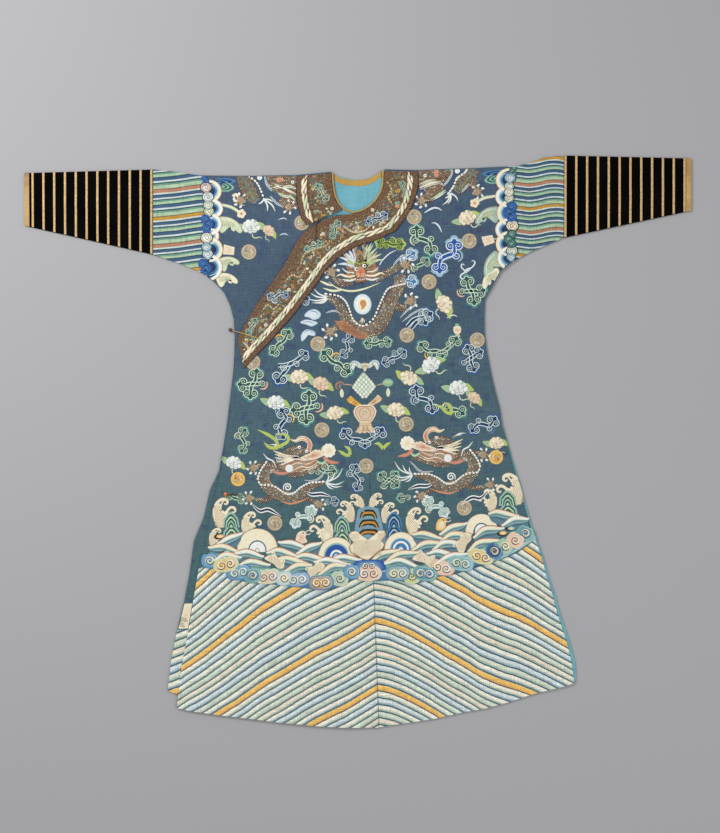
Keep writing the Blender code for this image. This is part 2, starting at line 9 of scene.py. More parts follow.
import bmesh
import bpy
import numpy as np
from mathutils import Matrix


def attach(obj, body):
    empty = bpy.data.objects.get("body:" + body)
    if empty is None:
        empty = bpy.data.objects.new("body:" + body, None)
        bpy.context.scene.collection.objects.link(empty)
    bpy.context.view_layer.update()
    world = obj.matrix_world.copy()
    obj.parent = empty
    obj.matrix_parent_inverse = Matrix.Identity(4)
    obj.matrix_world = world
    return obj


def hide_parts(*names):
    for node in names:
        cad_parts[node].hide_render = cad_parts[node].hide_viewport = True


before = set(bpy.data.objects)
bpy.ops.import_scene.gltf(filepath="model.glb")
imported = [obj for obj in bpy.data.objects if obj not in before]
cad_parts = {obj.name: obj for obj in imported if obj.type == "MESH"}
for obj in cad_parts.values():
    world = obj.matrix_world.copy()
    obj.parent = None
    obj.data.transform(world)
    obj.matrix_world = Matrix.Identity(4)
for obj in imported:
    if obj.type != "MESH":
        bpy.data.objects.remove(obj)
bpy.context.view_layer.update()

MM = 0.001
NECK_ACROSS, NECK_DOWN = 3.5, 675.75

# Cloth, as the solids have it.
WALL, LINING_WALL, BAND_WALL = 2.0, 1.0, 1.6
CLEAR, EASE = 0.3, 0.2
LINED_RISE = LINING_WALL + CLEAR - EASE
OVERLAP_RISE = WALL + CLEAR + EASE
CREASE_FADE = 40.0
SLEEVE_FOOT = 183.0
HEM_CURVE_START = 900.0
HALF_SEAM = 0.15
EDGE_SPACE = 2.0
UNDERLAP_INNER_EDGE = -84.0
OVERLAP_DROP_END, OVERLAP_DROP_LENGTH = -4.0, 76.0
UNDERLAP_HEM_SHORT, BACK_HEM_SHORT, BACK_SIDE_INSET = 18.0, 5.0, 3.0
PIPING_RADIUS, PIPING_SPACE, LINING_UNDER_FRONT = 2.3, 5.3, 12.0
NECK_CENTRE_DOWN, NECK_RISE_NEAR, NECK_RISE_FAR = 45.0, 85.0, 150.0
SLIT_TOP, SLIT_LINING_UNDER_FRONT, SLIT_RISE_NEAR, SLIT_RISE_FAR = 640.0, 16.0, 60.0, 120.0
CORD_FROM_EDGE, CORD_HALF_WIDTH = 21.0, 8.0
BRAID_COUNT, BRAID_FIRST, BRAID_PITCH = 12, 4.5, 27.0
CUFF_BAND_WIDTH, CUFF_BAND_EXTRA = 12.0, 0.5
KNOT_RADIUS, CORAL_RADIUS, LOOP_RADIUS = 4.8, 5.0, 1.2

# (down, across) of each free edge.
UNDERLAP_SIDE = np.array((
    (183, -520), (192, -496), (206, -458), (223, -420), (234, -398), (257, -370), (286, -345),
    (319, -332), (352, -325), (391, -324), (432, -326), (476, -330), (521, -337), (565, -344),
    (603, -350), (666, -362), (729, -376), (776, -400), (843, -418), (902, -445), (984, -459),
    (1048, -474), (1123, -495), (1194, -512), (1272, -524), (1289, -524),
), float)
OVERLAP_SIDE = np.array((
    (101, -58), (114, -95), (126, -121), (142, -144), (162, -160), (213, -189), (264, -226),
    (309, -263), (374, -304), (400, -319), (432, -324), (476, -328), (521, -335), (565, -342),
    (603, -346), (666, -357), (729, -371), (786, -388), (857, -405), (907, -417), (964, -434),
    (1065, -455), (1139, -470), (1218, -488), (1288, -498), (1316, -503),
), float)
RIGHT_SIDE = np.array((
    (179, 506), (192, 469), (213, 417), (234, 375), (256, 346), (297, 322), (327, 304),
    (368, 301), (409, 300), (451, 304), (493, 310), (534, 317), (566, 324), (597, 331),
    (638, 335), (686, 348), (740, 362), (790, 376), (837, 387), (885, 398), (927, 412),
    (974, 427), (1022, 438), (1060, 450), (1100, 459), (1143, 471), (1189, 485), (1240, 496),
    (1291, 497),
), float)
SLIT_LINING_SHOWN = np.array(((640, 0), (760, 4), (1000, 6), (1240, 9), (1291, 6)), float)
# (across, down) along lines.
HEM = np.array((
    (-524, 1307), (-503, 1316), (-475, 1324), (-406, 1337), (-336, 1348), (-249, 1362),
    (-161, 1374), (-91, 1381), (0, 1385), (63, 1378), (136, 1370), (211, 1356), (266, 1349),
    (321, 1336), (395, 1315), (470, 1300), (497, 1291),
), float)
SHOULDER = np.array((
    (-512, -30), (-469, -24), (-431, -17), (-397, -11), (-271, -5), (-156, -3), (-62, -8),
    (60, -9), (154, -4), (304, -4), (398, -5), (425, -10), (449, -17), (463, -23), (514, -27),
), float)
NECK = np.array((
    (-62, -5), (-62, 13), (-60, 38), (-57, 54), (-48, 73), (-36, 86), (-17, 94), (3, 90),
    (23, 80), (38, 66), (51, 47), (57, 27), (58, 7), (60, -5),
), float)
BACK_NECK = np.array((
    (-68, -8), (-61, -2), (-47, 8), (-22, 14), (-2, 16), (23, 14), (44, 4), (57, -6), (66, -9),
), float)
BACK_NECK_BAND_FOOT = np.array((
    (-60, 15), (-42, 25), (-22, 29), (-2, 31), (23, 29), (40, 21), (57, 10),
), float)
# Neckband stations: neck across, neck down, outer across, outer down.
OVERLAP_BAND = np.array((
    (66, -4, 149, 0), (63, 13, 150, 18), (63, 29, 149, 34), (56, 50, 144, 54),
    (42, 71, 138, 71), (26, 85, 129, 91), (5, 96, 116, 111), (-5, 99, 88, 146),
    (-17, 100, 40, 167), (-34, 101, -13, 182), (-66, 104, -40, 197), (-97, 116, -60, 209),
    (-122, 127, -77, 225), (-143, 143, -93, 242), (-160, 164, -106, 261), (-188, 213, -136, 299),
    (-225, 264, -168, 339), (-244, 288, -191, 364), (-262, 310, -214, 388),
    (-283, 343, -237, 412), (-302, 374, -262, 435), (-317, 401, -304, 477),
), float)
UNDERLAP_BAND = np.array((
    (-68, -4, -154, 1), (-68, 13, -157, 20), (-66, 37, -158, 40), (-63, 53, -156, 65),
    (-57, 73, -152, 88), (-49, 83, -147, 107), (-45, 88, -134, 124),
), float)
# Soft creases: from (across, down) to (across, down), half width, height.
CREASES = np.array((
    (-500, 60, -330, 120, 34, 2.4), (-450, 190, -250, 90, 40, 3.0), (-260, 20, -235, 130, 32, 1.6),
    (210, 20, 240, 210, 36, 1.8), (290, 300, 430, 120, 42, 3.2), (330, 60, 500, 40, 32, 2.2),
    (-250, 470, -290, 900, 46, 2.6), (-150, 400, -120, 760, 50, 1.8),
    (-95, 620, -115, 1180, 52, 2.2), (95, 420, 120, 900, 48, 2.2), (230, 340, 200, 640, 44, 2.6),
    (250, 700, 330, 1150, 52, 3.0), (-300, 960, -350, 1260, 48, 2.4),
    (140, 960, 170, 1300, 50, 2.0), (-560, 60, -790, 40, 30, 1.8), (-540, 140, -700, 90, 26, 1.4),
    (560, 110, 800, 60, 30, 2.0), (540, 30, 660, 20, 24, 1.4),
), float)
# Sleeves: seam top, seam foot, cuff top and cuff foot, each (across, down).
SLEEVES = {
    "left": np.array(((-512, -30), (-520, 183), (-834, -33), (-838, 99)), float),
    "right": np.array(((514, -27), (506, 179), (831, -8), (826, 123)), float),
}

# Thread colours, named as a weaver would.
THREADS = {
    "cream": "#ece3c6", "white": "#e9ebe4", "blush": "#e3cdb0", "pale_green": "#c8d4b0",
    "leaf": "#a9c27a", "lime": "#b2bf58", "sea_green": "#7fae9c", "deep_green": "#1d4a44",
    "pale_blue": "#c3d2da", "sky": "#8fb8c8", "mid_blue": "#3f78a6", "royal": "#1d4f9a",
    "navy": "#14234c", "teal": "#2f5a6e", "dark_teal": "#24404e", "slate": "#4a6c7c", "yellow": "#e6b44a",
    "ochre": "#c08a2e", "salmon": "#c88a72", "coral": "#c7683f", "pink": "#e0b3a0", "tan": "#b29a78",
    "old_gold": "#a2855e", "umber": "#6a4f35", "brown": "#4d3526", "dark": "#241c1c", "bead": "#e9e2d0",
    "gold": "#c9a24a", "pale_ice": "#d6e1e8", "leaf_pale": "#b4d0a8", "deep_teal": "#173a4c",
    "moss": "#3d5a2c", "foam": "#eadfc3", "sea_mist": "#8fb3a8", "steel": "#7599ac", "olive": "#7c7440",
    "black": "#030304", "wave_blue": "#587a8a", "halo_blue": "#25528a", "scale": "#a5947d",
    "scale_dark": "#4b3d33", "scale_pink": "#98796a", "halo_green": "#4c8a84", "cloud_green": "#cddfc4",
    "rust": "#9a6a50", "lining": "#69a6b4", "braid": "#dcb881", "root_salmon": "#a4735a",
    "root_white": "#bac7c3", "root_green": "#9cb596", "root_moss": "#5f8a76", "root_brown": "#6a4836",
    "root_gold": "#b0852f", "hem_gold": "#eabf68", "hem_amber": "#dba24a", "hem_sage": "#98ae9f",
    "cloud_navy": "#0f3358", "cloud_white": "#d0e0dc", "roundel_ring": "#a89a80", "peony_line": "#8d6248",
    "copper": "#a5764c", "dark_brown": "#3b261a", "amber_brown": "#7d4a26", "root_blue": "#335270",
    "root_dark": "#1f3a48", "foam_green": "#c6d3b4", "rope_pale": "#efe9cf", "rope_shade": "#a39a78",
    "hem_green": "#d4dac6", "hem_blue": "#d3dcda", "hem_slate": "#86a0a8", "hem_blush": "#e6d9c2",
    "hem_cream": "#e9e5d2",
}


def thread(name):
    """A thread colour in linear light."""
    code = THREADS[name]
    parts = [int(code[k:k + 2], 16) / 255.0 for k in (1, 3, 5)]
    return tuple(p / 12.92 if p <= 0.04045 else ((p + 0.055) / 1.055) ** 2.4 for p in parts)


def blend_tint(first, second, share):
    a, b = (thread(t) if isinstance(t, str) else t for t in (first, second))
    return tuple(x + (y - x) * share for x, y in zip(a, b))


# ---------------------------------------------------------------- heights of the cloth


def edge(table, down):
    return np.interp(down, table[:, 0], table[:, 1])


def line(table, across):
    return np.interp(across, table[:, 0], table[:, 1])


def smooth(value):
    value = np.clip(value, 0.0, 1.0)
    return value * value * (3.0 - 2.0 * value)


def crease_height(across, down):
    total = np.zeros(np.broadcast(across, down).shape)
    for a0, d0, a1, d1, half_width, height in CREASES:
        run = np.array((a1 - a0, d1 - d0))
        along = ((across - a0) * run[0] + (down - d0) * run[1]) / (run @ run)
        kept = np.clip(along, 0.0, 1.0)
        beyond = np.hypot(across - a0 - run[0] * kept, down - d0 - run[1] * kept) / half_width
        rise = height * np.sqrt(np.sin(math.pi * kept).clip(0.0)) * (1.0 - beyond**2) ** 2
        total = np.where(beyond < 1.0, np.maximum(total, rise), total)
    return total


def overlap_depth(across, down):
    outside = (across > 0.0) | (down < OVERLAP_SIDE[0, 0])
    return np.where(outside, -CREASE_FADE, across - edge(OVERLAP_SIDE, down))


def lined_under(across, down):
    from_neck = np.hypot(across, down - NECK_CENTRE_DOWN)
    near_neck = smooth((NECK_RISE_FAR - from_neck) / (NECK_RISE_FAR - NECK_RISE_NEAR))
    from_slit = edge(RIGHT_SIDE, down) - across
    near_slit = smooth((SLIT_RISE_FAR - from_slit) / (SLIT_RISE_FAR - SLIT_RISE_NEAR))
    near_slit = near_slit * smooth((down - SLIT_TOP + SLIT_RISE_NEAR) / SLIT_RISE_NEAR)
    return WALL + CLEAR + EASE + LINED_RISE * np.maximum(near_neck, near_slit)


def front_under(across, down):
    seen = smooth(-overlap_depth(across, down) / CREASE_FADE)
    return lined_under(across, down) + crease_height(across, down) * seen


def overlap_under(across, down):
    drop = smooth((OVERLAP_DROP_END - across) / OVERLAP_DROP_LENGTH)
    seen = smooth(overlap_depth(across, down) / CREASE_FADE)
    creased = lined_under(across, down) + crease_height(across, down) * seen
    return creased + OVERLAP_RISE * drop


def front_top(across, down):
    on_overlap = overlap_depth(across, down) > 0.0
    under = np.where(on_overlap, overlap_under(across, down), front_under(across, down))
    return under + WALL


def band_under(across, down):
    under = np.where(across < 0.0, overlap_under(across, down), front_under(across, down))
    return under + WALL + CLEAR + EASE


def band_top(across, down):
    return band_under(across, down) + BAND_WALL


def underlap_band_under(across, down):
    return front_under(across, down) + WALL + CLEAR + EASE


def underlap_band_top(across, down):
    return underlap_band_under(across, down) + BAND_WALL


def place(across, down, height):
    """Points of the robe in metres."""
    return np.stack((
        (np.asarray(across) + NECK_ACROSS) * MM, (NECK_DOWN - np.asarray(down)) * MM,
        np.asarray(height) * MM,
    ), axis=-1)


# ---------------------------------------------------------------- shading


class Nodes:
    """A short way to write a material's nodes."""

    def __init__(self, tree):
        self.tree = tree

    def add(self, kind, inputs=(), **settings):
        node = self.tree.nodes.new(kind)
        for key, value in settings.items():
            setattr(node, key, value)
        for key, value in dict(inputs).items():
            self.feed(node, key, value)
        return node

    def feed(self, node, key, value):
        """Give a node's input a plain value, or link another node's output to it."""
        if isinstance(value, bpy.types.NodeSocket):
            self.tree.links.new(value, node.inputs[key])
        else:
            node.inputs[key].default_value = value

    def math(self, operation, a, b=0.0, c=0.0):
        return self.add("ShaderNodeMath", {0: a, 1: b, 2: c}, operation=operation).outputs[0]

    def mix(self, share, a, b, blend="MIX"):
        node = self.add("ShaderNodeMix", data_type="RGBA", blend_type=blend, clamp_factor=True)
        self.feed(node, 0, share)
        for key, tint in ((6, a), (7, b)):
            self.feed(node, key, tint if isinstance(tint, bpy.types.NodeSocket) else (*tint, 1.0))
        return node.outputs[2]

    def noise(self, vector, scale, detail=2.0, rough=0.5):
        values = {"Vector": vector, "Scale": scale, "Detail": detail, "Roughness": rough}
        return self.add("ShaderNodeTexNoise", values).outputs["Fac"]

    def ramp(self, value, low, high, to_low=0.0, to_high=1.0):
        values = {0: value, 1: low, 2: high, 3: to_low, 4: to_high}
        return self.add("ShaderNodeMapRange", values, clamp=True).outputs[0]


def shader_group(name, inputs, outputs):
    """An empty node group with named sockets, its Nodes, its input node and its output node."""
    group = bpy.data.node_groups.new(name, "ShaderNodeTree")
    for label, kind, value in inputs:
        socket = group.interface.new_socket(label, in_out="INPUT", socket_type=kind)
        if value is not None:
            socket.default_value = value
    for label, kind in outputs:
        group.interface.new_socket(label, in_out="OUTPUT", socket_type=kind)
    nodes = Nodes(group)
    return group, nodes, nodes.add("NodeGroupInput"), nodes.add("NodeGroupOutput")


# How the uneven threads of a weave are drawn out along it: warp first, then weft.
WARP_STRETCH, WEFT_STRETCH = (900.0, 30.0, 1.0), (25.0, 700.0, 1.0)


def weave_group():
    """Warp and weft of a plain silk: a height for the bump and a slight change of value."""
    group, n, given, made = shader_group(
        "silk_weave",
        (("Place", "NodeSocketVector", None), ("Threads per metre", "NodeSocketFloat", 700.0),
         ("Slub", "NodeSocketFloat", 0.5)),
        (("Height", "NodeSocketFloat"), ("Value", "NodeSocketFloat")),
    )
    parts = n.add("ShaderNodeSeparateXYZ", {0: given.outputs["Place"]})
    turn = n.math("MULTIPLY", given.outputs["Threads per metre"], 2.0 * math.pi)
    warp = n.math("SINE", n.math("MULTIPLY", parts.outputs[0], turn))
    weft = n.math("SINE", n.math("MULTIPLY", parts.outputs[1], turn))
    check = n.math("MULTIPLY", warp, weft)
    streak, pick = (
        n.noise(n.add("ShaderNodeVectorMath", {0: given.outputs["Place"], 1: stretch},
                      operation="MULTIPLY").outputs[0], 1.0)
        for stretch in (WARP_STRETCH, WEFT_STRETCH))
    lines = n.math("ADD", n.math("SUBTRACT", streak, 0.5), n.math("SUBTRACT", pick, 0.5))
    slub = n.math("MULTIPLY", lines, given.outputs["Slub"])
    height = n.math("MULTIPLY_ADD", check, 0.5, 0.5)
    n.tree.links.new(n.math("ADD", height, slub), made.inputs["Height"])
    n.tree.links.new(n.math("ADD", 1.0, slub), made.inputs["Value"])
    return group


def wear_group():
    """Soft patches where colour has faded or soiled."""
    group, n, given, made = shader_group(
        "faded_patches",
        (("Place", "NodeSocketVector", None), ("Size", "NodeSocketFloat", 9.0),
         ("Amount", "NodeSocketFloat", 0.5)),
        (("Mask", "NodeSocketFloat"),),
    )
    cloud = n.noise(given.outputs["Place"], given.outputs["Size"], 5.0, 0.6)
    mask = n.ramp(cloud, 0.42, 0.72)
    n.tree.links.new(n.math("MULTIPLY", mask, given.outputs["Amount"]), made.inputs["Mask"])
    return group


WEAVE = weave_group()
FADED = wear_group()


def new_material(name, roughness, sheen=0.0):
    material = bpy.data.materials.new(name)
    material.use_nodes = True
    shader = material.node_tree.nodes["Principled BSDF"]
    shader.inputs["Roughness"].default_value = roughness
    shader.inputs["Sheen Weight"].default_value = sheen
    shader.inputs["Sheen Roughness"].default_value = 0.4
    shader.inputs["Specular IOR Level"].default_value = 0.3
    return material, Nodes(material.node_tree), shader


def attribute(n, name, kind="Vector"):
    return n.add("ShaderNodeAttribute", attribute_name=name).outputs[kind]


def use_group(n, group, **inputs):
    node = n.add("ShaderNodeGroup", node_tree=group)
    for label, value in inputs.items():
        n.feed(node, label.replace("_", " "), value)
    return node


def bump(n, shader, height, strength, distance):
    node = n.add("ShaderNodeBump", {"Height": height, "Strength": strength, "Distance": distance})
    n.tree.links.new(node.outputs[0], shader.inputs["Normal"])


# Depth that the bump stands for, in metres.
WEAVE_DEPTH, FLOSS_DEPTH, BROCADE_DEPTH = 0.0003, 0.0002, 0.0005


def tint_cloth(n, shader, colour, value):
    """Give a shader its colour, made lighter or darker by the value of its threads."""
    grey = n.add("ShaderNodeCombineXYZ", {k: value for k in range(3)})
    mixed = n.mix(1.0, colour, grey.outputs[0], "MULTIPLY")
    n.tree.links.new(mixed, shader.inputs["Base Color"])


GROUND_UPPER = (0.042, 0.072, 0.120)
GROUND_LOWER = (0.046, 0.111, 0.111)
GROUND_INDIGO = (0.026, 0.044, 0.125)
GROUND_TEAL = (0.030, 0.120, 0.150)
GROUND_FADED = (0.065, 0.120, 0.160)
# Cloudy patches of the ground: scale, where a patch starts and is full, its share, its colour.
SILK_PATCHES = ((34.0, 0.54, 0.66, 0.6, GROUND_INDIGO), (58.0, 0.56, 0.68, 0.5, GROUND_TEAL))


def plain_cloth(name, tint, faded, roughness, threads, sheen=0.1, strength=0.25):
    """A plain silk in one colour with its weave and faded patches."""
    material, n, shader = new_material(name, roughness, sheen=sheen)
    spot = attribute(n, "cut")
    weave = use_group(n, WEAVE, Place=spot, Threads_per_metre=threads, Slub=0.5)
    patch = use_group(n, FADED, Place=spot, Size=14.0, Amount=0.8)
    base = n.mix(patch.outputs["Mask"], tint, faded)
    tint_cloth(n, shader, base, weave.outputs["Value"])
    bump(n, shader, weave.outputs["Height"], strength, WEAVE_DEPTH)
    return material


def floss(name, roughness=0.5, sheen=0.15, twist=260.0, depth=0.16, metal=0.0):
    """Silk floss in each thread's own colour, with the ticks of its passes as bumps and as painted highlight
    and shade along each pass.
    """
    material, n, shader = new_material(name, roughness, sheen=sheen)
    shader.inputs["Metallic"].default_value = metal
    run = attribute(n, "run")
    parts = n.add("ShaderNodeSeparateXYZ", {0: run})
    slant = n.math("MULTIPLY_ADD", parts.outputs[1], 0.7, parts.outputs[0])
    tick = n.math("SINE", n.math("MULTIPLY", slant, 2.0 * math.pi * twist))
    spot = attribute(n, "cut")
    cloud = n.noise(spot, 160.0, 3.0, 0.6)
    # Painted highlight on the ridge of each pass and painted shade between passes, following the ticks of the
    # twist; the cloud noise adds uneven tone. Depth sets both.
    value = n.math("MULTIPLY_ADD", tick, depth * 0.5, 1.0 - depth * 0.5)
    value = n.math("ADD", value, n.math("MULTIPLY_ADD", cloud, depth * 2.0, -depth))
    tint_cloth(n, shader, attribute(n, "thread", "Color"), value)
    bump(n, shader, tick, 0.35, FLOSS_DEPTH)
    return material


# ---------------------------------------------------------------- meshes


def new_object(name, data):
    made = bpy.data.objects.new(name, data)
    bpy.context.scene.collection.objects.link(made)
    return made


def new_piece(name, verts, faces, materials, face_materials=None, sharp=40.0):
    """A piece riding on the robe, from points in metres."""
    mesh = bpy.data.meshes.new(name)
    mesh.from_pydata(verts.tolist(), [], faces)
    for material in materials:
        mesh.materials.append(material)
    if face_materials is not None:
        mesh.polygons.foreach_set("material_index", face_materials)
    mesh.update()
    mesh.shade_smooth()
    if sharp:
        mesh.set_sharp_from_angle(angle=math.radians(sharp))
    piece = new_object(name, mesh)
    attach(piece, "root")
    return piece


def write_points(piece, name, kind, values):
    layer = piece.data.attributes.new(name, kind, "POINT")
    key = {"FLOAT": "value", "FLOAT_VECTOR": "vector", "FLOAT_COLOR": "color"}[kind]
    layer.data.foreach_set(key, np.asarray(values, dtype=np.float32).ravel())


def write_cut(piece, across, down):
    """Where each point lies on the flat cloth, in metres, for the weaves."""
    flat = np.stack((across, down, np.zeros_like(across)), axis=-1) * MM
    write_points(piece, "cut", "FLOAT_VECTOR", flat)


def grid_quads(rows, columns, start=0):
    corner = start + (np.arange(rows - 1)[:, None] * columns + np.arange(columns - 1)).ravel()
    return np.stack((corner, corner + 1, corner + columns + 1, corner + columns), axis=-1)


def ring_of(rows, columns):
    top = list(range(columns))
    right = [row * columns + columns - 1 for row in range(1, rows)]
    foot = list(range((rows - 1) * columns + columns - 2, (rows - 1) * columns - 1, -1))
    left = [row * columns for row in range(rows - 2, 0, -1)]
    return np.array(top + right + foot + left)


def shell(name, outer, inner, materials):
    """A closed wall of cloth between two grids of (across, down, height)."""
    rows, columns = outer.shape[:2]
    count = rows * columns
    flat = np.concatenate((outer.reshape(-1, 3), inner.reshape(-1, 3)))
    top = grid_quads(rows, columns)[:, ::-1]
    foot = grid_quads(rows, columns, count)
    ring = ring_of(rows, columns)
    after = np.roll(ring, -1)
    rim = np.stack((ring, after, after + count, ring + count), axis=-1)
    verts = place(flat[:, 0], flat[:, 1], flat[:, 2])
    faces = np.concatenate((top, foot, rim))
    kinds = np.zeros(len(faces), dtype=np.int32)
    kinds[len(top):len(top) + len(foot)] = len(materials) - 1
    piece = new_piece(name, verts, faces.tolist(), materials, kinds)
    write_cut(piece, flat[:, 0], flat[:, 1])
    return piece, flat


def laid(name, across, down, under, thickness, materials):
    """A closed sheet laid with its underside at a height function."""
    base = under(across, down)
    inner = np.stack((across, down, base), axis=-1)
    outer = np.stack((across, down, base + thickness), axis=-1)
    return shell(name, outer, inner, materials)


# ---------------------------------------------------------------- the robe's cut


def offset_line(path, distance):
    run = np.empty_like(path)
    run[1:-1] = path[2:] - path[:-2]
    run[0], run[-1] = path[1] - path[0], path[-1] - path[-2]
    run /= np.linalg.norm(run, axis=1, keepdims=True)
    return path + np.stack((-run[:, 1], run[:, 0]), axis=-1) * distance


PANEL_NECK = offset_line(NECK, PIPING_SPACE)
PIPING_LINE = offset_line(NECK, PIPING_RADIUS + 0.2)
LINING_LINE = offset_line(NECK, LINING_UNDER_FRONT)
LOWEST = int(PANEL_NECK[:, 1].argmax())


def down_sorted(path):
    flipped = path[:, ::-1]
    return flipped[np.argsort(flipped[:, 0])]


NECK_HALVES = {
    "left": down_sorted(PANEL_NECK[:LOWEST + 1]), "right": down_sorted(PANEL_NECK[LOWEST:]),
}
BODY_COLUMNS = 54
# Distance between rows of the body, and the first row below the shoulder.
ROW_STEP = {"front": 8.0, "back": 18.0}
FIRST_ROW = {"front": 12.0, "back": 5.0}
BACK_NECK_PAST_CENTRE = 3.0
OVERLAP_ROWS = 150


def fold_radius(across, down):
    return 0.5 * (front_under(across, down) + WALL)


def upper_row(side_out, neck_in, level):
    shoulder = line(SHOULDER, neck_in(0.0))
    start = neck_in(shoulder + (SLEEVE_FOOT - shoulder) * level / SLEEVE_FOOT)
    across = np.linspace(start, side_out(level), BODY_COLUMNS)
    top = line(SHOULDER, across)
    top = top + fold_radius(across, top)
    return np.stack((across, top + (SLEEVE_FOOT - top) * level / SLEEVE_FOOT), axis=-1)


def lower_row(inner, outer, hem, level, last):
    bend = smooth((level - HEM_CURVE_START) / (last - HEM_CURVE_START))
    across = np.linspace(inner, outer, BODY_COLUMNS)
    return np.stack((across, level + bend * (hem(across) - hem(outer))), axis=-1)


def body_rows(side, face, step):
    sign = -1.0 if side == "left" else 1.0
    table = UNDERLAP_SIDE if side == "left" else RIGHT_SIDE
    seam = SLEEVES[side]
    sag = down_sorted(BACK_NECK[BACK_NECK[:, 0] * sign > -BACK_NECK_PAST_CENTRE])
    centre = sign * HALF_SEAM
    half = NECK_HALVES[side]

    def side_out(level):
        if level < SLEEVE_FOOT:
            return seam[0, 0] + (seam[1, 0] - seam[0, 0]) * level / SLEEVE_FOOT
        across = edge(table, level)
        if face == "back" and side == "left":
            return across + BACK_SIDE_INSET
        if face == "front" and side == "right":
            return across - edge(SLIT_LINING_SHOWN, level)
        return across

    def neck_in(down):
        if face == "back":
            return centre if down >= sag[-1, 0] else edge(sag, down)
        if side == "left":
            return UNDERLAP_INNER_EDGE if down > half[-2, 0] else edge(half, down)
        return centre if down >= half[-1, 0] else max(edge(half, down), centre)

    def hem(across):
        short = UNDERLAP_HEM_SHORT if side == "left" else 0.0
        return line(HEM, across) - short - (BACK_HEM_SHORT if face == "back" else 0.0)

    inner = UNDERLAP_INNER_EDGE if (side, face) == ("left", "front") else centre
    last = hem(table[-1, 0])
    upper = np.linspace(FIRST_ROW[face], SLEEVE_FOOT, int(SLEEVE_FOOT / step) + 1)[:-1]
    lower = np.linspace(SLEEVE_FOOT, last, int((last - SLEEVE_FOOT) / step) + 1)
    rows = [upper_row(side_out, neck_in, level) for level in upper]
    rows += [lower_row(inner, side_out(level), hem, level, last) for level in lower]
    return np.array(rows)


def fold_rows(side):
    across = np.linspace(NECK_HALVES[side][0, 1], SLEEVES[side][0, 0], BODY_COLUMNS)
    top = line(SHOULDER, across)
    radius = fold_radius(across, top)
    outer, inner = [], []
    for share in np.linspace(0.0, 1.0, 9):
        angle = math.pi * (share - 0.5)
        for rows, reach in ((outer, radius), (inner, radius - WALL)):
            down = top + radius - reach * math.cos(angle)
            rows.append(np.stack((across, down, radius + reach * math.sin(angle)), axis=-1))
    return np.array(outer), np.array(inner)


def with_height(rows, height):
    return np.concatenate((rows, np.broadcast_to(height, rows.shape[:2])[..., None]), axis=-1)


def rounded(table):
    """A table's points with smooth curves in between."""
    ends = 2 * table[:1] - table[1:2], 2 * table[-1:] - table[-2:-1]
    knots = np.concatenate((ends[0], table, ends[1]))
    share = np.linspace(0.0, 1.0, 8, endpoint=False)[:, None]
    made = [
        b + 0.5 * share * (c - a + share * (2 * a - 5 * b + 4 * c - d + share * (3 * b - a - 3 * c + d)))
        for a, b, c, d in zip(knots, knots[1:], knots[2:], knots[3:])]
    return np.concatenate((*made, table[-1:]))


# Hem stripes: centre line of the first yellow one, and how each falls away from the middle.
STRIPE_FIRST, STRIPE_PITCH = 1118.0, 16.75
# The strip of the underlap that shows has stripes of its own, level at one place across.
UNDERLAP_YELLOW, UNDERLAP_SLOPE, UNDERLAP_PITCH, UNDERLAP_STRIPE_TOP = 1280.0, 0.35, 19.0, 1122.0
UNDERLAP_LEVEL_AT = -512.0
STRIPE_FALL = {
    "left": np.array((
        (0, 0), (41, 23), (88, 47), (116, 60), (160, 80), (189, 96), (231, 119), (285, 148), (339, 182),
        (393, 214), (441, 240), (485, 260), (560, 300),
    ), float),
    "right": np.array((
        (0, 0), (33, 8), (74, 27), (126, 57), (174, 89), (228, 122), (263, 145), (315, 168),
        (353, 181), (394, 199), (440, 222), (500, 250), (560, 280),
    ), float),
}
STRIPE_FALL = {side: rounded(table) for side, table in STRIPE_FALL.items()}


# How the stripes above the first yellow one fall less steeply, and more so farther out and up.
FALL_STEP, FALL_MOST, FALL_OUTWARD, FALL_LESS, FALL_BEND = 178.0, 2.0, 0.00072, 0.30, 0.02


def hem_phase(across, down):
    """Stripe count below the first yellow one; a stripe's middle lies half-way through it."""
    fall = np.where(
        across < 0.0, line(STRIPE_FALL["left"], -across), line(STRIPE_FALL["right"], across))
    above = np.clip((STRIPE_FIRST - (down - fall)) / FALL_STEP, 0.0, FALL_MOST)
    steep = 1.0 + above * (FALL_OUTWARD * np.abs(across) - FALL_LESS - FALL_BEND * above)
    return (down - fall * steep - STRIPE_FIRST) / STRIPE_PITCH + 0.5


# Where the stripes begin below the curled foam, as (across, down).
STRIPE_TOP = np.array((
    (-560, 1000), (-480, 985), (-400, 960), (-368, 962), (-330, 970), (-300, 985), (-263, 995),
    (-189, 1002), (-130, 1010), (-60, 1006), (0, 998), (60, 1002), (130, 1015), (200, 1010),
    (280, 988), (330, 973), (365, 959), (395, 938), (420, 913), (450, 892), (480, 876),
), float)
# Sleeve-root stripes: reach in across from the seam, period, and a wavy offset.
ROOT_REACH = {"left": (-512.0, -388.0), "right": (373.0, 514.0)}
ROOT_PERIOD = {"left": 136.5, "right": 118.5}
ROOT_WAVE = {
    "left": np.array(((-512, 20.2), (-457, 17.5), (-401, 11.4)), float),
    "right": np.array((
        (384, 33), (400, 36), (424, 40), (445, 38), (470, 33), (487, 32), (500, 33), (514, 36),
    ), float),
}


def root_phase(side, across, down):
    return (down - line(ROOT_WAVE[side], across)) / ROOT_PERIOD[side]


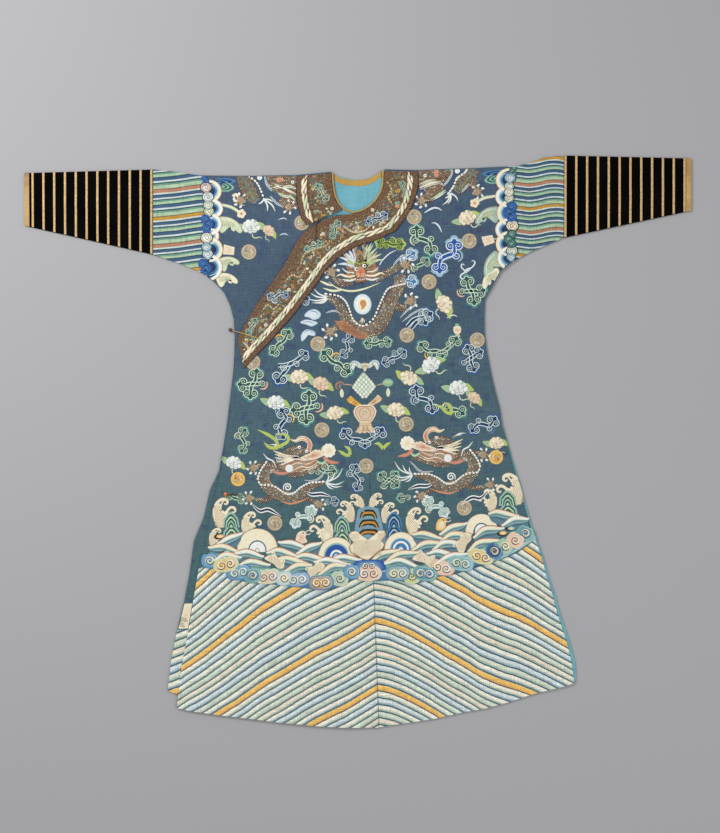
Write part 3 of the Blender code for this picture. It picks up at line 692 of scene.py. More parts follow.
def write_zones(piece, flat, side, underlap=False):
    """Each point's place among the hem stripes and the sleeve-root stripes."""
    across, down = flat[:, 0], flat[:, 1]
    phase, depth = hem_phase(across, down), down - line(STRIPE_TOP, across)
    if underlap:
        level = down + UNDERLAP_SLOPE * (across - UNDERLAP_LEVEL_AT)
        phase = (level - UNDERLAP_YELLOW) / UNDERLAP_PITCH + 0.5
        depth = down - UNDERLAP_STRIPE_TOP
    write_points(piece, "hem", "FLOAT", phase)
    write_points(piece, "hem_depth", "FLOAT", depth)
    near, far = ROOT_REACH[side]
    inside = (far - across) if side == "left" else (across - near)
    write_points(piece, "root", "FLOAT", root_phase(side, across, down))
    write_points(piece, "root_depth", "FLOAT", inside)


def constant_ramp(n, value, stops):
    ramp = n.add("ShaderNodeValToRGB", {0: value})
    ramp.color_ramp.interpolation = "CONSTANT"
    while len(ramp.color_ramp.elements) > 1:
        ramp.color_ramp.elements.remove(ramp.color_ramp.elements[-1])
    for k, (position, tint) in enumerate(stops):
        element = ramp.color_ramp.elements[0] if k == 0 else ramp.color_ramp.elements.new(position)
        element.position = position
        element.color = (*tint, 1.0)
    return ramp.outputs[0]


# Body and rim of each hem stripe, from the yellow one down.
HEM_STRIPES = (
    ("hem_gold", "hem_amber"), ("hem_cream", "hem_sage"), ("hem_blue", "hem_slate"),
    ("hem_cream", "hem_sage"), ("hem_green", "hem_sage"), ("hem_blush", "hem_sage"),
    ("hem_cream", "hem_slate"), ("hem_blue", "hem_slate"), ("hem_green", "hem_sage"),
    ("hem_cream", "hem_slate"),
)
# Stripes of a sleeve root, from the top of one salmon stripe to the next gold one.
ROOT_STRIPES = (
    ("root_brown", 1.8), ("root_salmon", 6.6), ("root_white", 3.2), ("root_dark", 2.2), ("root_blue", 5.2),
    ("root_white", 3.2), ("root_dark", 2.4), ("root_moss", 3.0), ("root_green", 4.8), ("root_dark", 2.4),
    ("root_blue", 6.2), ("root_white", 3.4), ("root_dark", 2.6), ("root_moss", 3.8), ("root_green", 7.6),
)


def root_stops():
    stops, at = [], 0.0
    total = 2.0 * sum(width for _, width in ROOT_STRIPES)
    for half in range(2):
        for name, width in ROOT_STRIPES:
            stops.append((at / total, thread("root_gold" if half and name == "root_salmon" else name)))
            at += width
    return stops


HEM_GAP = blend_tint("dark_teal", "steel", 0.12)
HEM_TICKS_PER_METRE, HEM_TICK_SLANT, HEM_UNEVEN = 200.0, 0.45, 0.34
# Metres down the robe over which the lower ground comes in and the sleeve roots' stripes end.
LOWER_GROUND, ROOT_STRIPES_END = (0.18, 0.95), (0.35, 0.345)
SEAM_LINE = (0.0017, 0.0008)


def figured_silk():
    """The robe's ground, its hem stripes and its sleeve-root stripes."""
    material, n, shader = new_material("figured_silk", 0.6, sheen=0.1)
    spot = attribute(n, "cut")
    parts = n.add("ShaderNodeSeparateXYZ", {0: spot})
    weave = use_group(n, WEAVE, Place=spot, Threads_per_metre=620.0, Slub=1.3)
    patch = use_group(n, FADED, Place=spot, Size=5.0, Amount=0.45)
    base = n.mix(n.ramp(parts.outputs[1], *LOWER_GROUND), GROUND_UPPER, GROUND_LOWER)
    base = n.mix(patch.outputs["Mask"], base, GROUND_FADED)
    for scale, low, high, most, tint in SILK_PATCHES:
        base = n.mix(n.ramp(n.noise(spot, scale, 3.0, 0.65), low, high, 0.0, most), base, tint)
    fleck = n.noise(spot, 500.0, 2.0, 0.8)
    base = n.mix(n.ramp(fleck, 0.56, 0.7, 0.0, 0.45), base, GROUND_FADED)
    base = n.mix(n.ramp(fleck, 0.44, 0.3, 0.0, 0.5), base, GROUND_INDIGO)

    phase = attribute(n, "hem", "Fac")
    spread = n.noise(spot, 22.0, 3.0, 0.6)
    phase = n.math("ADD", phase, n.math("MULTIPLY_ADD", spread, HEM_UNEVEN, -0.5 * HEM_UNEVEN))
    count = len(HEM_STRIPES)
    turn = n.math("FLOORED_MODULO", n.math("FLOOR", phase), count)
    share = n.math("MULTIPLY_ADD", turn, 1.0 / count, 0.5 / count)
    body, rim = (
        constant_ramp(n, share, [(k / count, thread(tint)) for k, tint in enumerate(tints)])
        for tints in zip(*HEM_STRIPES))
    within = n.math("FRACT", phase)
    stripe = n.mix(n.ramp(within, 0.34, 0.70), body, rim)
    dark = n.math("MULTIPLY", n.ramp(within, 0.75, 0.83), n.ramp(within, 1.0, 0.96))
    stripe = n.mix(dark, stripe, HEM_GAP)
    slant = n.math("MULTIPLY_ADD", parts.outputs[1], HEM_TICK_SLANT, parts.outputs[0])
    tick = n.math("SINE", n.math("MULTIPLY", slant, 2.0 * math.pi * HEM_TICKS_PER_METRE))
    stripe = n.mix(n.ramp(tick, -0.2, 1.0, 0.0, 0.20), stripe, HEM_GAP)
    base = n.mix(n.ramp(attribute(n, "hem_depth", "Fac"), -1.0, 1.0), base, stripe)

    root = n.math("FRACT", attribute(n, "root", "Fac"))
    stripes = constant_ramp(n, root, root_stops())
    root_mask = n.ramp(attribute(n, "root_depth", "Fac"), -1.0, 1.0)
    root_mask = n.math("MULTIPLY", root_mask, n.ramp(parts.outputs[1], *ROOT_STRIPES_END))
    base = n.mix(root_mask, base, stripes)
    from_seam = n.math("ABSOLUTE", parts.outputs[0])
    base = n.mix(n.ramp(from_seam, *SEAM_LINE, 0.0, 0.6), base, thread("dark_teal"))

    tint_cloth(n, shader, base, weave.outputs["Value"])
    bump(n, shader, weave.outputs["Height"], 0.2, WEAVE_DEPTH)
    return material


# Specks of the brocade: scale, detail, roughness, where a speck starts and is full, its colour.
BROCADE_SPECKS = (
    (150.0, 3.0, 0.7, 0.45, 0.6, thread("brown")),
    (110.0, 3.0, 0.7, 0.55, 0.62, thread("olive")),
    (120.0, 3.0, 0.75, 0.56, 0.62, thread("amber_brown")),
    (240.0, 2.0, 0.7, 0.57, 0.64, blend_tint("tan", "umber", 0.4)),
    (300.0, 2.0, 0.7, 0.62, 0.67, thread("sea_mist")),
    (330.0, 2.0, 0.7, 0.55, 0.62, thread("dark_brown")),
)


# Metres in from the rim and from the neck at which the speckled borders end, and the rim's line.
BORDER_FROM_RIM, BORDER_FROM_NECK, RIM_LINE = (0.034, 0.033), (0.014, 0.013), (0.0022, 0.0016)


def band_brocade():
    """Mottled brown brocade, with speckled gold borders beside the rope and at both edges."""
    material, n, shader = new_material("neckband_brocade", 0.55, sheen=0.1)
    spot = attribute(n, "cut")
    parts = n.add("ShaderNodeSeparateXYZ", {0: attribute(n, "band")})
    outer, neck = parts.outputs[0], parts.outputs[1]
    weave = use_group(n, WEAVE, Place=spot, Threads_per_metre=500.0, Slub=0.4)
    speck = n.noise(spot, 420.0, 2.0, 0.8)
    field = thread("umber")
    for scale, detail, rough, low, high, tint in BROCADE_SPECKS:
        field = n.mix(n.ramp(n.noise(spot, scale, detail, rough), low, high), field, tint)
    edging = n.mix(n.ramp(speck, 0.48, 0.62), thread("dark_brown"), blend_tint("copper", "brown", 0.3))
    edging = n.mix(n.ramp(n.noise(spot, 520.0, 2.0, 0.8), 0.58, 0.66), edging, thread("tan"))
    border = n.math("MAXIMUM", n.ramp(outer, *BORDER_FROM_RIM), n.ramp(neck, *BORDER_FROM_NECK))
    base = n.mix(border, field, edging)
    base = n.mix(n.ramp(outer, *RIM_LINE), base, thread("dark"))
    n.tree.links.new(base, shader.inputs["Base Color"])
    height = n.math("ADD", weave.outputs["Height"], n.math("MULTIPLY", speck, 3.0))
    bump(n, shader, height, 0.35, BROCADE_DEPTH)
    return material


def black_silk():
    material = plain_cloth(
        "black_silk", thread("black"), blend_tint("black", "dark", 0.15), 0.85, 800.0, 0.0)
    material.node_tree.nodes["Principled BSDF"].inputs["Specular IOR Level"].default_value = 0.03
    return material


MATERIALS = {
    "silk": figured_silk(),
    "lining": plain_cloth(
        "sky_lining", thread("lining"), blend_tint("lining", "slate", 0.45), 0.6, 500.0),
    "black": black_silk(),
    "band": band_brocade(),
    "gold_band": plain_cloth(
        "gold_band", blend_tint("gold", "umber", 0.3), blend_tint("gold", "umber", 0.55), 0.5, 420.0),
    "cuff_gold": plain_cloth(
        "cuff_gold", blend_tint("gold", "old_gold", 0.5), thread("umber"), 0.42, 300.0),
    "loop": plain_cloth("loop_cord", thread("brown"), thread("umber"), 0.6, 300.0),
    "coral": plain_cloth("coral_bead", thread("coral"), thread("salmon"), 0.25, 60.0, 0.0, 0.0),
    "floss": floss("silk_floss"),
    # The gold thread's deep ticks are painted glints and painted shade along its twist, with strongly uneven
    # tone.
    "gold_thread": floss("gold_thread", 0.42, 0.05, twist=420.0, depth=0.5, metal=0.25),
}


def body_length(side):
    back = body_rows(side, "back", ROW_STEP["back"])[::-1]
    front = body_rows(side, "front", ROW_STEP["front"])
    fold_outer, fold_inner = fold_rows(side)
    under = front_under(front[..., 0], front[..., 1])
    outer = np.concatenate((with_height(back, 0.0), fold_outer, with_height(front, under + WALL)))
    inner = np.concatenate((with_height(back, WALL), fold_inner, with_height(front, under)))
    piece, flat = shell(f"length_{side}", outer, inner, [MATERIALS["silk"], MATERIALS["lining"]])
    write_zones(piece, flat, side, underlap=side == "left")
    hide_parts(f"body_{side}")
    return piece


def overlap_rows():
    levels = np.linspace(OVERLAP_SIDE[0, 0], OVERLAP_SIDE[-1, 0], OVERLAP_ROWS)
    return np.array([
        lower_row(-HALF_SEAM, edge(OVERLAP_SIDE, level), lambda a: line(HEM, a), level, levels[-1])
        for level in levels
    ])


def overlap():
    rows = overlap_rows()
    piece, flat = laid(
        "front_overlap", rows[..., 0], rows[..., 1], overlap_under, WALL,
        [MATERIALS["silk"], MATERIALS["lining"]])
    write_zones(piece, flat, "left")
    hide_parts("overlap_front")
    return piece


def gone_along(path):
    """How far along a flat path each of its points lies."""
    return np.concatenate(((0.0,), np.cumsum(np.hypot(*np.diff(path, axis=0).T))))


def along(path, step):
    """A path of any number of columns, resampled at about equal steps of its first two."""
    run = gone_along(path[:, :2])
    at = np.linspace(0.0, run[-1], max(int(run[-1] / step) + 1, 2))
    return np.stack([np.interp(at, run, column) for column in path.T], axis=-1)


# Distance between stations along a band, and how far its cord stands up.
BAND_STEP, BAND_RISE = 6.0, 1.3


def band_shares(width):
    """Where a band's points lie across its width, and how far each stands up."""
    from_outer = np.array((
        (width, 0.0), (width - 6.0, 0.3), (width - 12.0, 0.5), (0.75 * width, 0.35),
        (0.5 * (width + CORD_FROM_EDGE), 0.2), (CORD_FROM_EDGE + CORD_HALF_WIDTH, 0.2),
        (CORD_FROM_EDGE + 0.4 * CORD_HALF_WIDTH, 0.7), (CORD_FROM_EDGE, 0.8),
        (CORD_FROM_EDGE - 0.4 * CORD_HALF_WIDTH, 0.7), (CORD_FROM_EDGE - CORD_HALF_WIDTH, 0.2),
        (8.0, 0.4), (4.0, 0.4), (0.0, 0.0),
    ))
    return 1.0 - from_outer[:, 0] / width, from_outer[:, 1] * BAND_RISE


def neckband(name, stations, under, node):
    outer, inner = [], []
    for neck_across, neck_down, rim_across, rim_down in along_band(stations):
        width = math.hypot(rim_across - neck_across, rim_down - neck_down)
        shares, raised = band_shares(width)
        across = neck_across + (rim_across - neck_across) * shares
        down = neck_down + (rim_down - neck_down) * shares
        base = under(across, down)
        inner.append(np.stack((across, down, base), axis=-1))
        outer.append(np.stack((across, down, base + BAND_WALL + raised), axis=-1))
    outer, inner = np.array(outer), np.array(inner)
    piece, _ = shell(name, outer, inner, [MATERIALS["band"], MATERIALS["lining"]])
    rim, neck = outer[:, :1, :2], outer[:, -1:, :2]
    across_band = np.stack((
        np.linalg.norm(outer[..., :2] - neck, axis=-1), np.linalg.norm(outer[..., :2] - rim, axis=-1),
        np.zeros(outer.shape[:2])), axis=-1).reshape(-1, 3) * MM
    write_points(piece, "band", "FLOAT_VECTOR", np.concatenate((across_band, across_band)))
    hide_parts(node)
    return piece


def along_band(stations):
    """A band's stations, with more put in between at about equal steps."""
    run = gone_along(0.5 * (stations[:, :2] + stations[:, 2:]))
    at = np.linspace(0.0, run[-1], int(run[-1] / BAND_STEP) + 1)
    at = np.unique(np.concatenate((at, run)))
    return np.stack([np.interp(at, run, column) for column in stations.T], axis=-1)


def ring_faces(rings, sides):
    """Faces between rings of points that close on themselves, and a cap at each end."""
    faces = []
    for ring in range(rings - 1):
        for k in range(sides):
            here, after = ring * sides + k, ring * sides + (k + 1) % sides
            faces.append((here, after, after + sides, here + sides))
    faces.append(tuple(range(sides))[::-1])
    faces.append(tuple((rings - 1) * sides + k for k in range(sides)))
    return faces


CORD_SIDES = 10


def round_cord(name, points, radius, material, node):
    """A round cord through (across, down, height) points, with flat ends."""
    points = np.asarray(points, float)
    run = np.gradient(points, axis=0)
    run /= np.linalg.norm(run, axis=1, keepdims=True)
    aside = np.cross(run, (0.0, 0.0, 1.0))
    aside /= np.linalg.norm(aside, axis=1, keepdims=True)
    above = np.cross(aside, run)
    turn = 2.0 * math.pi * np.arange(CORD_SIDES) / CORD_SIDES
    rings = points[:, None] + radius * (
        aside[:, None] * np.cos(turn)[None, :, None] + above[:, None] * np.sin(turn)[None, :, None])
    flat = rings.reshape(-1, 3)
    piece = new_piece(name, place(*flat.T), ring_faces(len(points), CORD_SIDES), [material])
    write_cut(piece, flat[:, 0], flat[:, 1])
    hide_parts(node)


def neck_piping():
    path = along(PIPING_LINE, 3.0)
    height = front_under(path[:, 0], path[:, 1]) + PIPING_RADIUS
    points = np.stack((path[:, 0], path[:, 1], height), axis=-1)
    round_cord("piping_neck", points, PIPING_RADIUS, MATERIALS["gold_band"], "neck_piping")


def back_neck_band():
    foot = along(BACK_NECK_BAND_FOOT, 2.0)
    top = line(BACK_NECK, foot[:, 0])
    share = np.linspace(0.0, 1.0, 13)
    across = np.repeat(foot[:, :1], len(share), axis=1)
    down = top[:, None] + (foot[:, 1] - top)[:, None] * share
    rib = 0.35 * np.sin(math.pi * 6.0 * share) ** 2
    base = np.full(across.shape, WALL + CLEAR)
    inner = np.stack((across, down, base), axis=-1)
    outer = np.stack((across, down, base + LINING_WALL - 0.15 + rib), axis=-1)
    piece, _ = shell("band_back_neck", outer, inner, [MATERIALS["gold_band"]])
    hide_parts("back_neck_band")
    return piece


def on_back(across, down):
    """Height of what is laid on the back, inside the robe."""
    return np.full(np.shape(across), WALL + CLEAR)


def neck_lining():
    across = np.unique(np.concatenate((
        np.linspace(LINING_LINE[1, 0], LINING_LINE[-2, 0], 30), BACK_NECK_BAND_FOOT[:, 0])))
    top = line(BACK_NECK_BAND_FOOT, across) + CLEAR
    foot = np.maximum(line(LINING_LINE[2:-2], across), top + 20.0)
    share = np.linspace(0.0, 1.0, 12)
    down = top[:, None] + (foot - top)[:, None] * share
    wide = np.repeat(across[:, None], len(share), axis=1)
    piece, _ = laid("neck_lining_back", wide, down, on_back, LINING_WALL, [MATERIALS["lining"]])
    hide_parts("lining_neck")
    return piece


def slit_lining():
    levels = np.linspace(SLIT_TOP, RIGHT_SIDE[-1, 0], 60)
    rim = edge(RIGHT_SIDE, levels)
    inside = rim - edge(SLIT_LINING_SHOWN, levels) - SLIT_LINING_UNDER_FRONT
    share = np.linspace(0.0, 1.0, 5)
    across = inside[:, None] + (rim - 0.5 - inside)[:, None] * share
    down = np.repeat(np.minimum(levels, HEM[-1, 1] - BACK_HEM_SHORT)[:, None], 5, axis=1)
    piece, _ = laid("slit_lining_back", across, down, on_back, LINING_WALL, [MATERIALS["lining"]])
    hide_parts("lining_slit")
    return piece


def sleeve_length(side):
    return abs(SLEEVES[side][2, 0] - SLEEVES[side][0, 0])


# Points round each fold of a flattened sleeve.
FOLD_STEPS = 6


def sleeve_rings(side, shares, inside, extra=0.0, front_steps=26, back_steps=10):
    """Rings of a flattened sleeve: across, down and height for each share of its length."""
    top_seam, foot_seam, top_cuff, foot_cuff = SLEEVES[side]
    radius = 0.5 * (2.0 * WALL + CLEAR + EASE) + extra
    reach = radius - WALL - extra if inside else radius
    start = radius - extra
    rings = []
    for share in shares:
        top = top_seam + (top_cuff - top_seam) * share
        foot = foot_seam + (foot_cuff - foot_seam) * share
        run = foot - top
        fold = math.pi * (np.arange(FOLD_STEPS) / FOLD_STEPS - 0.5)
        back = run[1] - start - (run[1] - 2.0 * start) * np.arange(back_steps) / back_steps
        front = start + (run[1] - 2.0 * start) * np.arange(front_steps) / front_steps
        upper = start - reach * np.cos(fold)
        lower = run[1] - start + reach * np.cos(fold)
        down = np.concatenate((back, upper, front, lower))
        across = top[0] + run[0] * down / run[1]
        lift = front_under(across, top[1] + down) - WALL - CLEAR - EASE
        first = back_steps + FOLD_STEPS
        swell = np.sin(math.pi * np.arange(front_steps) / front_steps)
        height = np.concatenate((
            np.full(back_steps, radius - reach), radius + reach * np.sin(fold),
            radius + reach + lift[first:first + front_steps] * swell, radius - reach * np.sin(fold),
        ))
        rings.append(np.stack((across, top[1] + down, height), axis=-1))
    return np.array(rings)


def tube(name, outer, inner, material):
    """A closed wall round a flattened tube, open at both ends."""
    count, size = outer.shape[:2]
    flat = np.concatenate((outer.reshape(-1, 3), inner.reshape(-1, 3)))
    around = np.arange(size)
    after = (around + 1) % size

    def join(first, second):
        return np.stack((first + around, first + after, second + after, second + around), -1)

    outside = [join(k * size, (k + 1) * size) for k in range(count - 1)]
    base = count * size
    within = [join(base + (k + 1) * size, base + k * size) for k in range(len(inner) - 1)]
    ends = [join(base, 0), join((count - 1) * size, base + (len(inner) - 1) * size)]
    faces = np.concatenate(outside + within + ends)
    piece = new_piece(name, place(*flat.T), faces.tolist(), [material])
    turn_faces(piece)
    write_cut(piece, flat[:, 0], flat[:, 1])
    return piece


def turn_faces(piece, upwards=False):
    """Turn a closed shape's faces outwards, or each face of raised threads to look up."""
    work = bmesh.new()
    work.from_mesh(piece.data)
    if upwards:
        bmesh.ops.reverse_faces(work, faces=[f for f in work.faces if f.normal.z < 0.0])
    else:
        bmesh.ops.recalc_face_normals(work, faces=work.faces)
    work.to_mesh(piece.data)
    work.free()


SLEEVE_RING_COUNT = 41


def sleeve(side):
    """The dark sleeve and the gold band at its cuff."""
    length = sleeve_length(side)
    cloth_end = length - CUFF_BAND_WIDTH
    outer = sleeve_rings(side, np.linspace(CLEAR, cloth_end, SLEEVE_RING_COUNT) / length, False)
    inner = sleeve_rings(side, np.array((CLEAR, 0.5 * length, cloth_end)) / length, True)
    piece = tube(f"black_sleeve_{side}", outer, inner, MATERIALS["black"])
    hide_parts(f"sleeve_{side}")
    ends = np.linspace((cloth_end + CLEAR) / length, 1.0, 4)
    outer = sleeve_rings(side, ends, False, CUFF_BAND_EXTRA)
    inner = sleeve_rings(side, ends[[0, -1]], True, CUFF_BAND_EXTRA)
    band = tube(f"gold_cuff_{side}", outer, inner, MATERIALS["cuff_gold"])
    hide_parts(f"cuff_band_{side}")
    return piece, band


# A braid's cross section: offset along the sleeve and height. Two cords lie side by side.
BRAID_PROFILE = np.array((
    (-2.9, -0.3), (-2.6, 0.45), (-1.7, 0.85), (-0.4, 0.6), (0.4, 0.6), (1.7, 0.85),
    (2.6, 0.45), (2.9, -0.3),
))
# Points of a braid across the sleeve, the first of them that shows, and how many show.
BRAID_STEPS, BRAID_START, BRAID_SHOWN = 110, 5, 114
BRAID_TWIST, BRAID_TWIST_STEPS = 0.12, 3.0


def braid(side):
    """Rows of couched gold braid across the sleeve's upper side."""
    length = sleeve_length(side)
    offset, rise = BRAID_PROFILE[:, :1], BRAID_PROFILE[:, 1:]
    art = Art()
    for row in range(BRAID_COUNT):
        centre = BRAID_FIRST + BRAID_PITCH * row
        shares = np.maximum(centre + offset[:, 0], CLEAR) / length
        rings = sleeve_rings(side, shares, False, front_steps=BRAID_STEPS, back_steps=1)
        rings = rings[:, BRAID_START:BRAID_START + BRAID_SHOWN]
        twist = BRAID_TWIST * np.sin(2.0 * math.pi * np.arange(BRAID_SHOWN) / BRAID_TWIST_STEPS)
        rings[..., 2] += rise + twist * (rise > 0.5)
        run = np.stack(np.broadcast_arrays(rings[..., 1], offset), axis=-1)
        art.grid(rings, np.broadcast_to(thread("braid"), rings.shape), run)
    art.piece(f"braid_{side}", "gold_braid", "gold_thread")


class Art:
    """Raised threads gathered into one piece: points, colours and the way each thread runs."""

    def __init__(self, surface=None):
        self.surface = surface
        self.points, self.tints, self.runs, self.faces, self.count = [], [], [], [], 0

    def grid(self, points, tints, runs):
        rows, columns = points.shape[:2]
        self.points.append(points.reshape(-1, 3))
        self.tints.append(np.asarray(tints, float).reshape(-1, 3))
        self.runs.append(np.asarray(runs, float).reshape(-1, 2))
        self.faces.append(grid_quads(rows, columns, self.count))
        self.count += rows * columns

    def drape(self, flat, lift, tints, runs):
        """Threads given by (across, down) and their lift above the surface."""
        self.grid(np.concatenate((flat, lift[..., None]), axis=-1), tints, runs)

    def piece(self, name, slot_name="figured_silk", material="floss"):
        """The finished piece, draped over the cloth unless its heights are already given."""
        points = np.concatenate(self.points)
        if self.surface is not None:
            keep_on_cloth(points)
            points[:, 2] += self.surface(points[:, 0], points[:, 1])
        faces = np.concatenate(self.faces).tolist()
        piece = new_piece(name, place(*points.T), faces, [MATERIALS[material]], sharp=None)
        turn_faces(piece, upwards=True)
        write_cut(piece, points[:, 0], points[:, 1])
        runs = np.pad(np.concatenate(self.runs), ((0, 0), (0, 1))) * MM
        write_points(piece, "run", "FLOAT_VECTOR", runs)
        tints = np.pad(np.concatenate(self.tints), ((0, 0), (0, 1)), constant_values=1.0)
        write_points(piece, "thread", "FLOAT_COLOR", tints)


def keep_on_cloth(points):
    """Bring drawn points that reach past an edge of the robe back onto its cloth."""
    across, down = points[:, 0], points[:, 1]
    np.maximum(down, line(SHOULDER, across) + EDGE_SPACE, out=down)
    low = np.maximum(down, SLEEVE_FOOT)
    np.maximum(across, edge(UNDERLAP_SIDE, low) + EDGE_SPACE, out=across)
    np.minimum(across, edge(RIGHT_SIDE, low) - EDGE_SPACE, out=across)


KNOT_SIDES, KNOT_RINGS, KNOT_RIDGES = 28, 15, 0.16


def knot_ball(name, spot, height, radius, material, ridges=KNOT_RIDGES):
    """A small round button, with the strands of a knot when it has ridges."""
    turn = 2.0 * math.pi * np.arange(KNOT_SIDES) / KNOT_SIDES
    rise = math.pi * (np.arange(1, KNOT_RINGS + 1) / (KNOT_RINGS + 1.0) - 0.5)[:, None]
    strand = 1.0 - ridges * np.abs(np.sin(3.0 * turn + 5.0 * rise)) ** 3
    reach = radius * strand * np.cos(rise)
    points = np.stack((
        spot[0] + reach * np.cos(turn), spot[1] + reach * np.sin(turn),
        height + radius * np.sin(rise) * np.ones(KNOT_SIDES)), axis=-1).reshape(-1, 3)
    faces = ring_faces(KNOT_RINGS, KNOT_SIDES)
    piece = new_piece(name, place(*points.T), faces, [material], sharp=None)
    turn_faces(piece)
    write_cut(piece, points[:, 0], points[:, 1])
    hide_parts(name.replace("knob", "button"))


NECK_KNOT, ARMPIT_KNOT, SIDE_KNOT = (-110.0, 111.0), (-334.0, 378.0), (-361.0, 787.0)
# Where the armpit's loop leaves the band and where it lies on the underlap.
ARMPIT_LOOP_BAND, ARMPIT_LOOP_CLOTH = (-290.0, 390.0), (-318.0, 383.0)


def fastenings():
    """Knot and loop at the neck, knot and loop at the armpit, coral bead at the side."""
    lie = LOOP_RADIUS + CLEAR
    over_band = BAND_WALL + BAND_RISE + lie
    knot_height = float(underlap_band_under(*NECK_KNOT)) + BAND_WALL + BAND_RISE + KNOT_RADIUS
    knot_ball("knob_neck", NECK_KNOT, knot_height, KNOT_RADIUS, MATERIALS["cuff_gold"])
    path = along(np.array((
        (-110.2, 116.2), (-110.6, 123), (-111.2, 134), (-112, 150), (-112.6, 168)), float), 3.0)
    high = np.maximum(band_under(path[:, 0], path[:, 1]) + over_band, knot_height - 1.0)
    high[-1] = band_under(path[-1, 0], path[-1, 1]) + over_band
    round_cord("cord_loop_neck", np.column_stack((path, high)), LOOP_RADIUS,
               MATERIALS["loop"], "loop_neck")

    knot_ball("knob_armpit", ARMPIT_KNOT, KNOT_RADIUS + CLEAR, KNOT_RADIUS, MATERIALS["loop"])
    top = float(band_under(*ARMPIT_LOOP_BAND)) + over_band
    side_top = float(front_under(*ARMPIT_LOOP_CLOTH)) + WALL + lie
    path = along(np.array((
        (-329.2, 379.8, side_top - 0.2), (-322, 382, side_top + 0.6), (-314, 384.5, top - 1.0),
        (-305, 387.5, top), (-290, 393, top), (-262, 403, top)), float), 4.0)
    round_cord("cord_loop_armpit", path, LOOP_RADIUS, MATERIALS["cuff_gold"], "loop_armpit")

    height = float(front_top(*SIDE_KNOT)) + CLEAR + CORAL_RADIUS
    knot_ball("knob_side", SIDE_KNOT, height, CORAL_RADIUS, MATERIALS["coral"], 0.0)
    path = along(np.array((
        (-355.5, 787.5), (-350, 788), (-340, 789), (-330, 790), (-321, 791)), float), 3.0)
    high = front_top(path[:, 0], path[:, 1]) + lie + 0.3
    high[0] += 2.0
    round_cord("cord_loop_side", np.column_stack((path, high)), LOOP_RADIUS,
               MATERIALS["loop"], "loop_side")


# ---------------------------------------------------------------- drawing with thread

# Share of a strand's length that thins towards an end, and how high its edges lie.
TAPER_SHARE, THREAD_FOOT = 0.35, 0.06


def flowing(points, step=2.2, closed=False):
    """A smooth path through points, with about equal steps."""
    points = np.asarray(points, float)
    if closed:
        before, after = points[[-1]], points[[0, 1]]
        knots = np.concatenate((before, points, after))
    else:
        knots = np.concatenate((2 * points[:1] - points[1:2], points, 2 * points[-1:] - points[-2:-1]))
    made = []
    for k in range(1, len(knots) - 2):
        a, b, c, d = knots[k - 1:k + 3]
        count = max(int(np.linalg.norm(c - b) / step), 1) + 1
        t = np.linspace(0.0, 1.0, count, endpoint=False)[:, None]
        made.append(0.5 * (
            2 * b + (c - a) * t + (2 * a - 5 * b + 4 * c - d) * t**2 + (3 * b - a - 3 * c + d) * t**3))
    if not closed:
        made.append(points[-1:])
    return np.concatenate(made)


def coil(x, y, radius, turns, start, hand, inner=0.18, step=0.42):
    """Points of a spiral from its rim inwards."""
    count = max(int(turns * 2.0 * math.pi / step), 6)
    share = np.linspace(0.0, 1.0, count)
    angle = math.radians(start) + hand * turns * 2.0 * math.pi * share
    reach = radius * (1.0 - (1.0 - inner) * share)
    return np.stack((x + reach * np.cos(angle), y + reach * np.sin(angle)), axis=-1)


def tapered(share, thin):
    """How wide a strand is at each share of its length, when it thins towards its ends."""
    opening = thin[0] + (1.0 - thin[0]) * share / TAPER_SHARE
    closing = thin[1] + (1.0 - thin[1]) * (1.0 - share) / TAPER_SHARE
    return np.minimum(1.0, np.minimum(opening, closing))


def both_sides(half):
    """A shape from one half of its points: those, then their mirror image going back."""
    return [*half, *((-x, y) for x, y in reversed(half) if x)]


def plain(tint, rim=None):
    """Cross section of a single strand: offset in widths, colour, and share of its lift."""
    rim = rim or tint
    return ((-0.5, rim, 0.0), (-0.24, tint, 1.0), (0.24, tint, 1.0), (0.5, rim, 0.0))


def lined(rim, core, line_share):
    """Cross section of a dark strand between two pale lines."""
    inner = 0.5 - line_share
    return (
        (-0.5, rim, 0.0), (-0.5 + 0.3 * line_share, rim, 1.0), (-inner, rim, 0.9),
        (-inner + 0.02, core, 0.5), (inner - 0.02, core, 0.5), (inner, rim, 0.9),
        (0.5 - 0.3 * line_share, rim, 1.0), (0.5, rim, 0.0),
    )


def as_tint(tint):
    return np.array(thread(tint) if isinstance(tint, str) else tint, float)


def headings(path):
    """Which way a path runs at each point, and the direction to its side."""
    run = np.gradient(path, axis=0)
    run /= np.maximum(np.linalg.norm(run, axis=1, keepdims=True), 1e-9)
    return run, np.stack((-run[:, 1], run[:, 0]), axis=-1)


